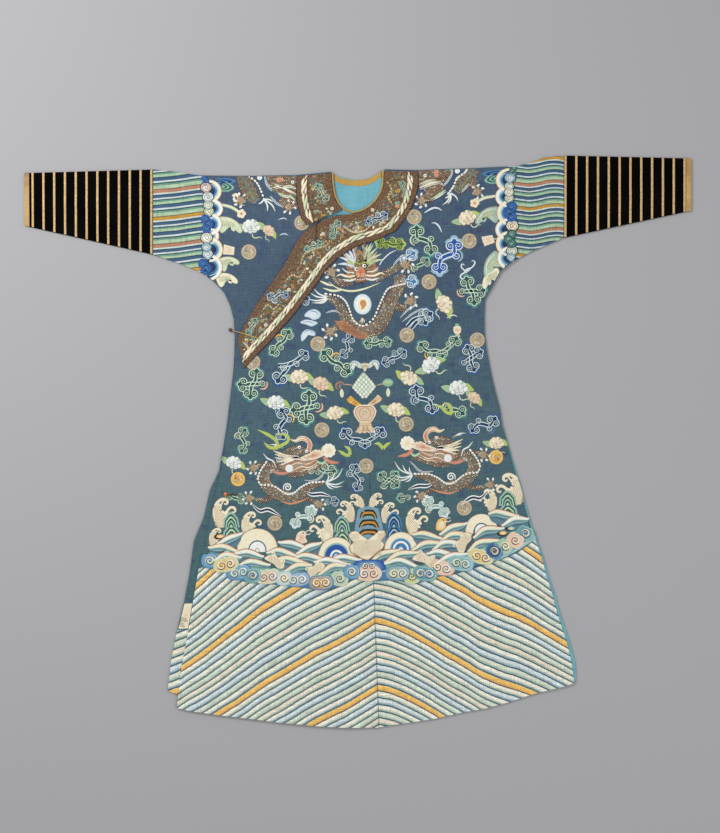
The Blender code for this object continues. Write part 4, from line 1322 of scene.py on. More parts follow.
class Pen:
    """Draws in local millimetres, x to the right and y down, at one place on the cloth."""

    def __init__(self, art, across, down, size=1.0, turn=0.0, flip=False, lift=0.0):
        self.art, self.origin, self.size, self.lift = art, np.array((across, down), float), size, lift
        angle = math.radians(turn)
        spin = np.array(((math.cos(angle), math.sin(angle)), (-math.sin(angle), math.cos(angle))))
        self.matrix = np.diag((-1.0 if flip else 1.0, 1.0)) @ spin * size

    def at(self, x, y, size=1.0, turn=0.0, flip=False, lift=0.0):
        """Another pen whose middle and turn are given in this pen's own millimetres."""
        pen = Pen(self.art, 0.0, 0.0, size, turn, flip, self.lift + lift)
        pen.origin = self.origin + np.array((x, y), float) @ self.matrix
        pen.matrix = pen.matrix @ self.matrix
        pen.size = self.size * size
        return pen

    def ribbon(self, points, width, section, lift, thin=(1.0, 1.0), soft=True):
        """A strand along a path; thin gives the share of its width kept at each end."""
        if isinstance(section, str) or isinstance(section[0], float):
            section = plain(section)
        path = flowing(points) if soft else np.asarray(points, float)
        path = self.origin + path @ self.matrix
        _, aside = headings(path)
        gone = gone_along(path)
        bulge = tapered(gone / max(gone[-1], 1e-9), thin)
        offsets = np.array([part[0] for part in section])
        tints = np.array([as_tint(part[1]) for part in section])
        rises = np.array([part[2] for part in section])
        wide = width * self.size * bulge
        flat = path[:, None] + aside[:, None] * (offsets[None, :] * wide[:, None])[..., None]
        high = self.lift + THREAD_FOOT + (lift - THREAD_FOOT) * np.broadcast_to(rises, flat.shape[:2])
        tint = np.broadcast_to(tints, (*flat.shape[:2], 3))
        runs = np.stack((
            np.broadcast_to(gone[:, None], flat.shape[:2]), offsets[None, :] * wide[:, None]), -1)
        self.art.drape(flat, high, tint, runs)

    def fill(self, points, tint, lift, middle=None, soft=True, rim=None):
        """A filled shape that bulges from its outline to its middle."""
        outline = flowing(points, closed=True) if soft else np.asarray(points, float)
        outline = self.origin + outline @ self.matrix
        centre = outline.mean(axis=0)
        shares = np.array((1.0, 0.9, 0.62, 0.3, 0.04))
        rises = np.array((0.0, 0.85, 1.0, 1.0, 1.0))
        tint, middle = as_tint(tint), as_tint(middle if middle is not None else tint)
        rim = as_tint(rim) if rim is not None else tint
        mixes = np.array((0.0, 0.0, 0.35, 0.75, 1.0))[:, None]
        tints = tint + (middle - tint) * mixes
        tints[0] = rim
        rings = centre + (outline[None] - centre) * shares[:, None, None]
        rings = np.concatenate((rings, rings[:, :1]), axis=1)
        high = self.lift + THREAD_FOOT + (lift - THREAD_FOOT) * rises[:, None] * np.ones(rings.shape[1])
        colour = np.broadcast_to(tints[:, None], (*rings.shape[:2], 3))
        self.art.drape(rings, high, colour, rings - self.origin)

    def dot(self, x, y, radius, tint, lift, middle=None, rim=None, tall=1.0, sides=12):
        turn = 2.0 * math.pi * np.arange(sides) / sides
        outline = np.stack((x + radius * np.cos(turn), y + radius * tall * np.sin(turn)), -1)
        self.fill(outline, tint, lift, middle, soft=False, rim=rim)

    def spiral(self, x, y, radius, turns, start, hand, width, section, lift, thin=(1.0, 0.5)):
        self.ribbon(coil(x, y, radius, turns, start, hand), width, section, lift, thin, soft=False)


def wreath(pen, x, y, reach, count, radius, tint, lift, middle, rim=None, sides=8):
    """Dots set evenly round a point."""
    for k in range(count):
        angle = 2.0 * math.pi * k / count
        pen.dot(x + reach * math.cos(angle), y + reach * math.sin(angle), radius, tint, lift, middle,
                rim=rim, sides=sides)


def cloud_head(pen, rim, core, tip):
    """A ruyi head: a lobed outline round two spirals, with a crescent beyond it."""
    lobes = np.array(both_sides((
        (-2.5, 1), (-8, 3), (-14, 1.5), (-18, -4.5), (-17, -11.5), (-11.5, -16), (-6, -17),
        (-4, -21), (0, -22.5))))
    pen.ribbon(lobes[4:13] * (1.24, 1.22) + (0.0, 0.6), 5.0, tip, 0.17, (0.35, 0.35))
    pen.fill(lobes, core, 0.24)
    pen.ribbon(lobes, 2.5, rim, 0.5)
    for hand in (-1, 1):
        pen.spiral(hand * 9.0, -6.4, 6.8, 1.3, 90 + hand * 38, hand, 2.1, rim, 0.5)


def side_curl(pen, rim, core, tip):
    """A hooked curl that grows from a cloud's stem, with a crescent outside it if it has a tip."""
    if tip:
        pen.ribbon(coil(9, -4, 12.6, 0.42, -60, 1, inner=1.0), 5.4, plain(tip, "umber"), 0.24, (0.4, 0.4),
                   soft=False)
    pen.dot(9, -4, 8.6, core, 0.26, sides=14)
    pen.ribbon(coil(9, -4, 8.8, 1.7, 150, 1, inner=0.12), 2.3, rim, 0.5, (1.0, 0.6), soft=False)


# Rim, core and halo of each kind of cloud.
CLOUD_COLOURS = {
    "blue": ("cloud_white", "cloud_navy", "halo_blue"),
    "green": ("cloud_green", "deep_green", "halo_green"),
    "lime": ("lime", "moss", "leaf"), "ice": ("pale_ice", "royal", "sky"),
    "sky": ("white", "mid_blue", "sky"), "mist": ("white", "sea_mist", "pale_ice"),
}
# Stems, heads (x, y, turn, size) and side curls (x, y, turn, flip) of each kind of cloud.
CLOUDS = {
    "zed": (
        [[(-17, -20), (-15, -8), (0, -3), (13, 4), (17, 17)]],
        [(-17, -18, 0, 0.86), (17, 16, 180, 0.8)], [(-14, -9, 160, 0), (12, 4, -20, 0)]),
    "wye": (
        [[(-28, -2), (-10, -2), (10, -8), (30, -22)], [(0, -4), (-10, 10), (-22, 24)]],
        [(30, -21, 50, 0.7), (-22, 22, 210, 0.86)], [(-22, -2, 190, 1), (6, -2, 20, 0)]),
    "cross": (
        [[(-22, 2), (-8, 0), (8, 0), (20, 0)], [(8, -20), (6, -8), (-3, 4), (-6, 20)]],
        [(8, -18, 10, 0.85), (-19, 2, -80, 0.8), (-6, 17, 185, 0.85)], [(14, 0, 30, 0)]),
    "long": (
        [[(-46, -8), (-34, 3), (-14, 6), (2, 12), (22, 4), (40, -8)]],
        [(-44, -6, -30, 0.85), (40, -6, 35, 0.85), (2, 11, 180, 0.75)],
        [(-32, 3, 120, 0), (24, 4, 60, 1)]),
    "small": (
        [[(-12, 8), (0, 1), (9, -5)]], [(9, -4, 30, 0.8)], [(-10, 7, 150, 0)]),
    "puff": ([[(0, 10), (0, 0)]], [(0, 0, 0, 0.95)], [(0, 9, 120, 0)]),
    "tailed": (
        [[(-40, 24), (-24, 8), (-8, 2), (10, -2)], [(-30, 30), (-16, 14), (-4, 4)]],
        [(10, 0, 60, 0.85), (4, 4, 160, 0.8)], [(-6, 1, -30, 0)]),
    "bar": (
        [[(-28, 2), (-10, -3), (10, 2), (28, -2)]],
        [(-24, 2, -80, 0.85), (24, -2, 80, 0.9)], [(4, -1, -60, 0), (-10, 0, 120, 0)]),
}


def cloud(pen, kind, colours, tip):
    stems, heads, curls = CLOUDS[kind]
    rim, core, halo = CLOUD_COLOURS[colours]
    for stem in stems:
        path = np.array(stem, float)
        pen.ribbon(path + (1.5, 5.0), 7.0, halo, 0.15, (0.3, 0.3))
        pen.ribbon(path, 12.0, lined(rim, core, 0.2), 0.42, (0.8, 0.8))
    for number, (x, y, turn, flip) in enumerate(curls):
        side_curl(pen.at(x, y, 1.0, turn, bool(flip), 0.04), rim, core, None if number else tip)
    for x, y, turn, size in heads:
        cloud_head(pen.at(x, y, 1.14 * size, turn, lift=0.1), rim, core, halo)


def leaf(pen, tint, vein):
    long, wide = 16.0, 9.0
    shape = [(-2, 0), (long * 0.2, -wide * 0.55), (long * 0.6, -wide * 0.5), (long * 1.05, -1.5),
             (long * 0.7, wide * 0.35), (long * 0.25, wide * 0.5)]
    pen.fill(shape, tint, 0.25, vein)
    pen.ribbon([(1, 0), (long * 0.5, -0.6), (long * 0.92, -0.9)], 1.3, vein, 0.32)
    for k in (0.3, 0.55, 0.8):
        pen.ribbon([(long * k, -0.4), (long * (k + 0.12), -wide * 0.32)], 0.9, vein, 0.32, soft=False)


def peony(pen, petals, heart):
    """A ruffled flower with leaves behind it."""
    for turn, tint in ((35, "lime"), (205, "leaf"), (-70, "sea_green")):
        angle = math.radians(turn)
        start = (15.0 * math.cos(angle), -12.0 * math.sin(angle))
        leaf(pen.at(*start, 1.7, turn), tint, "sea_mist" if tint == "leaf" else "leaf")
    lift = 0.28
    for count, reach, radius, start in ((9, 15.4, 7.6, 0.2), (6, 9.2, 7.2, 0.7), (3, 3.8, 5.6, 0.1)):
        for k in range(count):
            angle = 2.0 * math.pi * (k + 0.16 * math.sin(7.0 * k + start)) / count + start
            far = reach * (1.0 + 0.12 * math.sin(11.0 * k + start))
            x, y = far * math.cos(angle), 0.78 * far * math.sin(angle)
            lift += 0.015
            wide = radius * (1.0 + 0.2 * math.sin(5.0 * k + start * 9))
            pen.dot(x, y, wide, blend_tint(heart, petals, 0.3), lift, rim=heart, sides=11)
            shade = blend_tint(petals, heart, 0.16 * (k % 3))
            pen.dot(x * 1.04, y * 1.04 - 0.4, wide * 0.8, petals, lift + 0.05, shade, sides=11)
    for turn in (20, 140, 260):
        pen.spiral(0, 0, 3.4, 0.6, turn, 1, 1.2, blend_tint(heart, "umber", 0.3), lift + 0.1)


def bud_stem(pen):
    pen.ribbon([(2, 18), (4, 26), (11, 29), (19, 27), (26, 30)], 2.6, "pale_green", 0.25, (1.0, 0.3))


# Turn between neighbours of a scatter that fills a disc evenly.
GOLDEN_ANGLE = 2.399963


def roundel(pen, number, yellow=False):
    """A gold-thread disc with a ring and a scatter of short coloured stitches."""
    ground, ring = ("scale", "roundel_ring") if not yellow else ("ochre", "yellow")
    pen.dot(0, 0, 20.5, ring, 0.3, ground, rim="umber", sides=32)
    pen.ribbon(coil(0, 0, 18.0, 1.02, 0, 1, inner=0.99), 2.4, blend_tint(ring, "cream", 0.45), 0.42,
               soft=False)
    flecks = ("cream", "sea_mist", "salmon", "cream", "umber", "pale_ice", "ochre", "pale_green")
    for k in range(7):
        angle = 0.9 * k + 1.7 * number
        x, y = 8.4 * math.cos(angle), 8.4 * math.sin(angle)
        turn = (math.cos(angle * 2 + 1) * 4.2, math.sin(angle * 2 + 1) * 4.2)
        tint = ("cream", "salmon", "sea_mist", "yellow", "pale_ice", "brown", "leaf")[(k * 3 + number) % 7]
        pen.ribbon([(x - turn[0], y - turn[1]), (x, y), (x + turn[0], y + turn[1])], 4.6,
                   blend_tint(tint, ring, 0.0 if yellow else 0.25), 0.38, (0.5, 0.5))
    for k in range(34):
        reach = 15.4 * math.sqrt(k / 34.0 + 0.02)
        angle = GOLDEN_ANGLE * k + number
        x, y = reach * math.cos(angle), reach * math.sin(angle)
        lean = angle * 1.7 + number
        run = np.array((math.cos(lean), math.sin(lean))) * 2.5
        tint = flecks[(k * 5 + number * 3) % len(flecks)]
        pen.ribbon([(x - run[0], y - run[1]), (x + run[0], y + run[1])], 2.1,
                   blend_tint(tint, ring, 0.15), 0.46, (0.5, 0.5), soft=False)


def petal(pen, wide, long, tint, middle, lift):
    half = ((0, 0), (-wide * 0.5, -long * 0.35), (-wide * 0.36, -long * 0.75), (0, -long))
    pen.fill(both_sides(half), tint, lift, middle, rim=middle)


def lotus(pen):
    """A lotus seen from the side: a full cone of small pointed petals, set over the vase."""
    half = ((0, -35), (11, -24), (21, -10), (30, 2), (20, 14), (8, 25), (0, 30))
    pen.fill(both_sides(half), "leaf_pale", 0.3, "sea_mist", rim="slate")
    lift = 0.34
    for y, half, count in ((-27, 0, 1), (-21, 6, 2), (-15, 11, 3), (-9, 16, 4), (-3, 20, 5), (3, 24, 6),
                           (9, 19, 5), (15, 14, 4), (21, 8, 3), (27, 3, 2)):
        for k in range(count):
            share = 2.0 * k / (count - 1) - 1.0 if count > 1 else 0.0
            lift += 0.006
            at = pen.at(half * share, y + 5, 1.0, 18 * share)
            tint = "pink" if y < -24 else ("cream", "white", "pale_green", "blush")[(k * 3 + int(y)) % 4]
            petal(at, 8.2, 10.6, "sea_mist", "slate", lift)
            petal(at.at(0, -0.7), 6.8, 9.4, tint, "white", lift + 0.05)


def vase(pen):
    """An eight-sided vase with a flared foot and crossed ribbons."""
    for hand in (-1, 1):
        shape = np.array(((1, -17), (8, -22), (22, -33), (30, -42), (40, -33), (35, -26), (15, -16)), float)
        pen.fill(shape * (hand, 1), "yellow" if hand < 0 else "blush", 0.4, "ochre", soft=False,
                 rim="umber")
        for k in range(4):
            x = 11.0 + 7.0 * k
            edge_line = np.array(((x - 2 + k, -21 - 5 * k), (x + 4 + k, -17 - 4.4 * k))) * (hand, 1)
            pen.ribbon(edge_line, 1.6, "amber_brown" if k % 2 else "cream", 0.5)
    body = [(-13, -20), (13, -20), (21, -16), (26, -6), (23, 4), (15, 17), (-15, 17), (-23, 4), (-26, -6),
            (-21, -16)]
    pen.fill(body, "blush", 0.35, "tan", soft=False, rim="umber")
    foot = [(-13, 16), (13, 16), (14, 26), (24, 40), (17, 42), (13, 39), (8, 43), (3, 40), (-3, 43),
            (-8, 40), (-13, 43), (-18, 40), (-24, 40), (-14, 26)]
    pen.fill(foot, "blush", 0.35, "tan", soft=False, rim="umber")
    ring = np.array(body + body[:1], float)
    pen.ribbon(ring * 0.94, 2.4, "cream", 0.5, soft=False)
    pen.ribbon(ring * 0.82, 1.8, "amber_brown", 0.5, soft=False)
    pen.ribbon(coil(0, -1.5, 13.0, 1.02, 0, 1, 0.99), 1.8, "salmon", 0.5, soft=False)
    wreath(pen, 0, -1.5, 7.6, 9, 2.6, "cream", 0.55, "tan")
    pen.dot(0, -1.5, 3.4, "cream", 0.6, "salmon", sides=10)
    for y in (17, 21, 25):
        pen.ribbon([(-13, y), (0, y + 0.6), (13, y)], 1.5, "ochre", 0.5)
    for x in (-12, -8, -4, 0, 4, 8, 12):
        pen.ribbon([(x, 27), (x * 1.25, 33), (x * 1.6, 39)], 1.2, "rust" if x % 8 else "cream", 0.48)


def tassel(pen, number):
    """A scroll that leaves the lotus, with a round leaf or a curl and a hanging bud."""
    pen.ribbon([(-17, -3), (-4, -6), (8, -6)], 3.0, "tan", 0.3, (0.5, 0.6))
    if number:
        pen.dot(12, -9, 14.0, "sea_green", 0.35, "leaf", tall=0.75, rim="teal", sides=16)
        pen.ribbon([(0, -9), (12, -12), (24, -9)], 3.0, "leaf_pale", 0.45)
    else:
        pen.ribbon([(4, -6), (12, -12), (22, -10), (26, -2), (20, 6)], 7.0, plain("scale_pink", "umber"),
                   0.36, (0.4, 0.4))
        pen.ribbon([(12, -6), (17, -3), (14, 4)], 4.0, plain("tan", "umber"), 0.4, (0.5, 0.3))
    pen.fill([(12, 4), (7, 14), (9, 25), (14, 25), (17, 14)], "cream", 0.4, "pale_green", rim="tan")


def bat(pen):
    """A bat with curled wings, seen from above."""
    for hand in (-1, 1):
        wing = np.array((
            (3, 2), (10, -6), (20, -13), (30, -13), (36, -6), (35, 4), (30, 12), (27, 4),
            (20, 0), (12, 6)), float) * (hand, 1)
        pen.fill(wing, "pale_blue", 0.3, "cream", rim="sea_green")
        pen.ribbon(np.array(((34, 2), (30, -8), (22, -9), (18, -3), (22, 2), (26, -2))) * (hand, 1),
                   2.0, "slate", 0.42)
        for k in range(3):
            x = 12 + 5 * k
            pen.ribbon([(hand * x, -4 - k), (hand * (x + 1), 4 - k)], 1.2, "sea_green", 0.4)
    pen.fill(both_sides(((0, -8), (-5, -2), (-4, 8), (0, 14))), "cream", 0.45, "blush", rim="tan")
    for k in range(4):
        pen.ribbon([(-3.5, k * 3 - 1), (0, k * 3 + 1), (3.5, k * 3 - 1)], 1.0, "tan", 0.52)
    for turn in (-60, -30, 0, 30, 60):
        petal(pen.at(0, 6, 1.0, turn), 6.0, 15.0, "cream" if turn % 60 else "pale_green", "tan", 0.5)


def pomegranate(pen):
    pen.fill([(-11, 0), (-9, -9), (0, -12), (9, -9), (11, 0), (8, 9), (0, 12), (-8, 9)], "cream",
             0.36, "pink", rim="tan")
    pen.ribbon([(-8, -2), (-4, 2), (0, -1), (4, 2), (8, -2)], 1.4, "salmon", 0.45)
    pen.fill(both_sides(((-4, -11), (-7, -18), (-2, -15), (0, -20))), "sea_green", 0.3, "leaf", soft=False)
    pen.fill([(-4, 11), (4, 11), (9, 20), (0, 17), (-9, 20)], "blush", 0.32, "tan", soft=False)


def crane(pen):
    """A small white bird in flight."""
    pen.fill([(-10, 6), (-4, -2), (4, -6), (12, -6), (10, 0), (2, 6), (-4, 10)], "white", 0.36,
             "pale_blue", rim="slate")
    pen.ribbon([(10, -4), (18, -10), (24, -20), (21, -26), (14, -26)], 3.6, "white", 0.36, (1, 0.4))
    pen.ribbon([(-6, 2), (-16, -8), (-14, -18), (-6, -14)], 4.0, "pale_ice", 0.36, (1, 0.3))
    pen.ribbon([(-8, 8), (-18, 14), (-20, 22), (-12, 26)], 4.0, "white", 0.36, (1, 0.4))
    for k in range(4):
        pen.ribbon([(-8 + 4 * k, 4 - 2 * k), (-5 + 4 * k, 9 - 3 * k)], 1.0, "slate", 0.45)


def streak(pen):
    pen.ribbon([(-13, 5), (-2.6, -3), (6.5, -5), (13, -2)], 3.0, "pale_ice", 0.3, (0.3, 0.3))


def tablets(pen):
    """Two crossed clappers with a trailing ribbon."""
    for turn, tint in ((14, "cream"), (-38, "blush")):
        board = pen.at(0, 0, 1.0, turn)
        board.fill([(-5, -15), (6, -15), (5, 14), (-6, 13)], tint, 0.36, "white", soft=False, rim="tan")
        board.ribbon([(-2, -11), (-2.5, 9)], 1.0, "tan", 0.44)
    pen.ribbon([(4, 10), (14, 14), (18, 22), (26, 24)], 3.0, "pale_green", 0.32, (1, 0.3))


# Where the clouds lie: place, kind, colours, tip, size, turn, flip.
CLOUD_PLACES = (
    ((157, 173), "zed", "green", "pale_green", 1.0, 0, 0),
    ((213, 216), "zed", "ice", "sky", 1.15, 0, 1),
    ((119, 210), "puff", "sky", "pale_ice", 0.8, 60, 0),
    ((116, 272), "puff", "sky", "pale_ice", 0.8, 100, 0),
    ((148, 231), "small", "green", "pale_green", 0.8, 12, 0),
    ((270, 303), "cross", "green", "pink", 0.95, 0, 1),
    ((145, 363), "tailed", "blue", "pale_ice", 0.95, 0, 0),
    ((72, 178), "bar", "lime", "leaf", 0.75, 10, 0),
    ((188, 442), "long", "green", "yellow", 0.9, -8, 0),
    ((264, 470), "cross", "blue", "mid_blue", 0.9, 150, 0),
    ((72, 463), "bar", "blue", "sea_green", 0.75, -22, 0),
    ((-74, 470), "bar", "green", "yellow", 1.0, 36, 1),
    ((-45, 429), "zed", "blue", "royal", 0.75, 60, 0),
    ((33, 424), "bar", "green", "pale_green", 0.75, -5, 1),
    ((-189, 473), "wye", "blue", "mid_blue", 1.05, 0, 0),
    ((-283, 515), "cross", "green", "pink", 1.0, 0, 0),
    ((-209, 415), "bar", "green", "yellow", 0.85, -46, 0),
    ((-150, 579), "cross", "green", "pink", 1.08, -8, 0),
    ((-212, 618), "zed", "blue", "yellow", 0.95, -30, 1),
    ((-11, 658), "long", "blue", "royal", 0.95, 0, 0),
    ((-313, 656), "zed", "green", "pale_green", 0.75, 40, 0),
    ((143, 571), "zed", "blue", "sky", 1.0, -4, 0),
    ((219, 599), "small", "green", "cream", 0.95, 160, 1),
    ((288, 639), "zed", "blue", "mid_blue", 0.9, 35, 1),
    ((-119, 736), "bar", "green", "pale_green", 0.8, 15, 0),
    ((-34, 759), "zed", "blue", "sky", 0.8, 30, 0),
    ((48, 767), "cross", "green", "pale_green", 0.75, -40, 1),
    ((-215, 713), "small", "blue", "sky", 0.6, 10, 1),
    ((-336, 798), "small", "green", "lime", 0.75, 50, 0),
    ((81, 812), "puff", "green", "pale_green", 0.6, -100, 0),
    ((-94, 816), "puff", "blue", "sky", 0.62, 80, 0),
    ((-158, 309), "small", "blue", "sky", 0.85, 40, 0),
)
# Short streaks of mist: place, size, turn, flip.
STREAKS = (
    ((220, 366), 1.0, 10, 0), ((183, 99), 1.6, 10, 0), ((191, 140), 1.3, 30, 1),
    ((-193, 107), 0.8, 20, 0), ((-192, 146), 0.8, 20, 0),
)
ROUNDELS = (
    (-281, 185), (-146, 117), (135, 113), (166, 276), (270, 178), (106, 407),
    (281, 426), (-117, 421), (-281, 460), (-115, 636), (96, 629), (-8, 730),
    (-241, 864), (233, 844),
)
YELLOW_ROUNDELS = ((-329, 751), (317, 720))
# Flowers: place, size, turn, petal colour.
FLOWERS = (
    ((-167, 502), 1.0, 0, "cream"), ((-113, 521), 0.95, 20, "blush"), ((-227, 564), 1.0, 10, "white"),
    ((-81, 595), 0.95, -10, "cream"), ((72, 593), 1.0, 10, "cream"), ((107, 514), 1.0, 200, "cream"),
    ((163, 484), 1.08, -30, "white"), ((229, 544), 1.05, 0, "white"), ((202, 333), 1.05, 60, "cream"),
    ((319, 685), 0.85, 0, "cream"), ((-338, 710), 0.9, 20, "white"), ((-273, 122), 1.0, 0, "white"),
    ((-229, 134), 0.7, 40, "blush"), ((267, 120), 1.0, -20, "cream"), ((268, 570), 0.75, 40, "blush"),
)


def scatter(surface):
    """Clouds and streaks of mist on the silk."""
    art = Art(surface)
    for spot, kind, colours, tip, size, turn, flip in CLOUD_PLACES:
        cloud(Pen(art, *spot, size, turn, bool(flip)), kind, colours, tip)
    for spot, size, turn, flip in STREAKS:
        streak(Pen(art, *spot, size, turn, bool(flip)))
    art.piece("woven_clouds")


def blossoms(surface):
    """Flowers, roundels and lucky things on the silk."""
    art = Art(surface)
    for spot, size, turn, petals in FLOWERS:
        pen = Pen(art, *spot, size, turn)
        peony(pen, petals, "slate" if petals == "white" else "peony_line")
        bud_stem(pen)
    for number, spot in enumerate(ROUNDELS):
        roundel(Pen(art, *spot, 0.96, lift=0.1), number)
    for number, spot in enumerate(YELLOW_ROUNDELS):
        roundel(Pen(art, *spot, 0.9, lift=0.1), number, True)
    bat(Pen(art, -2, 480, 1.02))
    lotus(Pen(art, -6, 530, 1.0))
    vase(Pen(art, -6, 600, 1.14, lift=0.1))
    tassel(Pen(art, 42, 533, 1.0), 1)
    tassel(Pen(art, -50, 531, 1.0, flip=True), 0)
    pomegranate(Pen(art, 232, 399, 0.9))
    crane(Pen(art, 262, 250, 0.85))
    tablets(Pen(art, -308, 49, 0.8))
    tablets(Pen(art, 315, 179, 0.8, -60))
    art.piece("woven_flowers")


# ---------------------------------------------------------------- waves, rocks and foam


def wave(art, feet, lift, number):
    """A swelling wave through its left foot, top and right foot: a cream crest over blue bands."""
    crest = ("cream", "white", "hem_cream", "white", "cream")[number % 5]
    over = flowing(feet, 6.0)
    share = np.linspace(-1.0, 1.0, len(over))
    deep = (1.0 - share**2)[:, None] ** 0.6
    pen = Pen(art, 0, 0, lift=lift)
    below = over + deep * (0.0, 40.0)
    pen.fill(np.concatenate((over, below[::-1])), "wave_blue", 0.2, "wave_blue", soft=False)
    pen.ribbon(over + deep * (0.0, 23.0), 3.4, "teal", 0.26, (0.2, 0.2), soft=False)
    pen.ribbon(over + deep * (0.0, 16.5), 4.4, "sea_mist", 0.28, (0.2, 0.2), soft=False)
    section = ((-0.5, "rust", 0.0), (-0.4, "rust", 0.8), (-0.3, "blush", 1.0), (-0.16, crest, 1.0),
               (0.14, crest, 1.0), (0.3, "leaf_pale", 0.9), (0.42, "steel", 0.6), (0.5, "slate", 0.1))
    pen.ribbon(over + deep * (0.0, 5.0), 14.5, section, 0.6, (0.45, 0.45), soft=False)


def nested_sun(pen, rings):
    """Half-round rings, one inside the other, from the outside in: radius and colour."""
    for step, (radius, tint) in enumerate(rings):
        turn = np.linspace(math.pi, 2.0 * math.pi, 19)
        outline = np.stack((radius * np.cos(turn), radius * 1.04 * np.sin(turn)), axis=-1)
        base = [(radius * 0.96, 5), (-radius * 0.96, 5)]
        pen.fill(np.concatenate((outline, base)), tint, 0.2 + 0.06 * step, soft=False,
                 rim=None if step else "brown")


def rock(pen, wide, high, tints, tiers, bands):
    """A pointed rock of nested gable bands; several tiers stand one before the other."""
    flat, slope, pinch = (0.3, 0.18, 1.0) if tiers < 3 else (0.6, 0.46, 0.6)
    if tiers > 2:
        behind = both_sides(((-0.5, 0), (-0.41, -0.5), (-0.3, -0.95), (0, -1.02)))
        pen.fill(np.array(behind) * (wide, high), tints[0], 0.16, soft=False)
    for tier in range(tiers):
        rise = high * (tiers - tier) / tiers
        own = high / tiers * 1.3
        for band in range(bands):
            share = 1.0 - band / (bands + 0.6)
            half = 0.5 * wide * (1.0 - slope + slope * (tier + 1) / tiers) * (1.0 - pinch + pinch * share)
            top = own * share
            foot = -rise + own
            outline = both_sides(((-half, foot), (-half * 0.86, foot - top * 0.55),
                                  (-half * flat, foot - top * 0.93), (0, foot - top)))
            pen.fill(outline, tints[band % len(tints)], 0.2 + 0.05 * band + 0.12 * tier, soft=False)


NET = blend_tint("tan", "cream", 0.12)


def hatching(pen, inside, spacing, width, lift):
    """Two sets of thin crossing lines within a (left, right, top, foot) box."""
    left, right, top, foot = inside
    for lean in (-0.7, 0.7):
        reach = lean * (foot - top)
        for x in np.arange(left - abs(reach), right + abs(reach), spacing):
            ends = np.array([(x, foot), (x + reach, top)])
            shares = np.clip([(left - x) / reach, (right - x) / reach], 0.0, 1.0)
            low, high = min(shares), max(shares)
            if high - low > 0.1:
                run = ends[1] - ends[0]
                pen.ribbon([ends[0] + run * low, ends[0] + run * high], width, NET, lift, soft=False)


# Height of a crest as it is drawn.
CREST_HEIGHT = 53.0


def crest(pen, high, third):
    """Leaping foam whose tips curl over like claws, cross-hatched at its foot."""
    pen = pen.at(0, 0, high / CREST_HEIGHT)
    body = [(-5, 3), (-12, -10), (-15, -22), (-14.5, -35), (-9, -43.5), (-1, -47), (3.5, -44), (0.5, -38),
            (2.5, -30), (7.5, -27), (12, -31), (16.5, -32), (17.5, -26), (13.5, -18), (11, -9), (5, 3)]
    pen.fill(body, "foam", 0.13, "cream", soft=False, rim="tan")
    for x, y, size in ((1.5, -41.5, 3.4), (0.5, -35.5, 3.4), (5, -29, 3.2), (16.5, -22.5, 3.2),
                       (14, -15, 2.8)):
        pen.dot(x, y, size, "cream", 0.15, "foam", rim="tan", sides=8)
    hooks = [(((-9, -41), (-3, -49), (5, -54), (13, -53), (16, -47.5), (12.5, -43.5), (9, -46)), 6.6),
             (((11, -22), (15.5, -31), (22, -37), (29, -35.5), (31, -30), (27.5, -26.5), (24.5, -28.5)), 5.8),
             (((4, -44), (7, -50), (11, -51)), 3.4)]
    if third:
        hooks.append((((-11, -26), (-16, -36), (-22, -39.5), (-27.5, -36), (-27, -31), (-23.5, -30)), 5.6))
    for path, width in hooks:
        pen.ribbon(path, width, ((-0.5, "tan", 0.0), (-0.34, "foam", 0.9), (0.2, "cream", 1.0),
                                 (0.5, "tan", 0.0)), 0.2, (1.0, 0.42))
    for inside in ((-11, 10, -26, 0), (-11, 2, -42, -26)):
        hatching(pen, inside, 4.4, 1.05, 0.24)


def slab(pen, wide, high):
    """A hatched sheet of foam that slides over the waves."""
    outline = np.array(((-0.5, 0.5), (-0.36, -0.2), (-0.16, -0.5), (0.05, -0.35), (0.3, -0.46),
                        (0.5, 0.1), (0.3, 0.5), (0, 0.42)))
    pen.fill(outline * (wide, high), "foam", 0.3, "cream", rim="tan")
    hatching(pen, (-wide * 0.36, wide * 0.36, -high * 0.32, high * 0.4), 4.2, 1.15, 0.42)
    for side in (-1, 1):
        pen.spiral(side * wide * 0.3, -high * 0.42, 6.0, 1.1, 90, side, 3.2, "cream", 0.5)


def curl_pair(pen, lobe, second, coils):
    """A coloured lobe of the foam border, with spirals drawn in a dark line."""
    half = 33 if coils > 1 else 22
    lobes = np.array((
        (-1, 0.2), (-0.92, -0.5), (-0.6, -0.95), (-0.25, -0.86), (0, -1.02), (0.25, -0.86), (0.6, -0.95),
        (0.92, -0.5), (1, 0.2), (0.8, 0.75), (0.4, 0.98), (0, 1.05), (-0.4, 0.98), (-0.8, 0.75)))
    lobes = lobes * (half, 19)
    pen.fill(lobes, blend_tint(lobe, second, 0.3), 0.24, second, rim=lobe)
    for k, tint in enumerate((lobe, "pale_ice", second)):
        pen.ribbon(lobes[2:12] * (0.94 - 0.12 * k), 2.6, blend_tint(tint, lobe, 0.4), 0.28, (0.3, 0.3))
    spots = {1: ((0, 0),), 2: ((-11, 1), (11, 1)), 4: ((-8, -19), (-11.5, 1), (11.5, 1), (8, -19))}[coils]
    for k, (x, y) in enumerate(spots):
        hand = 1 if x > 0 or coils == 1 else -1
        size = 0.66 if coils == 4 and k in (0, 3) else 1.0
        pen.dot(x, y, 11.4 * size, "white" if k % 2 else "cream", 0.34, second, sides=14)
        path = coil(x, y, 11.4 * size, 1.5, 90 - hand * 75, hand, 0.06, 0.35)
        pen.ribbon(path, 3.4, "dark", 0.46, (0.8, 0.8), soft=False)


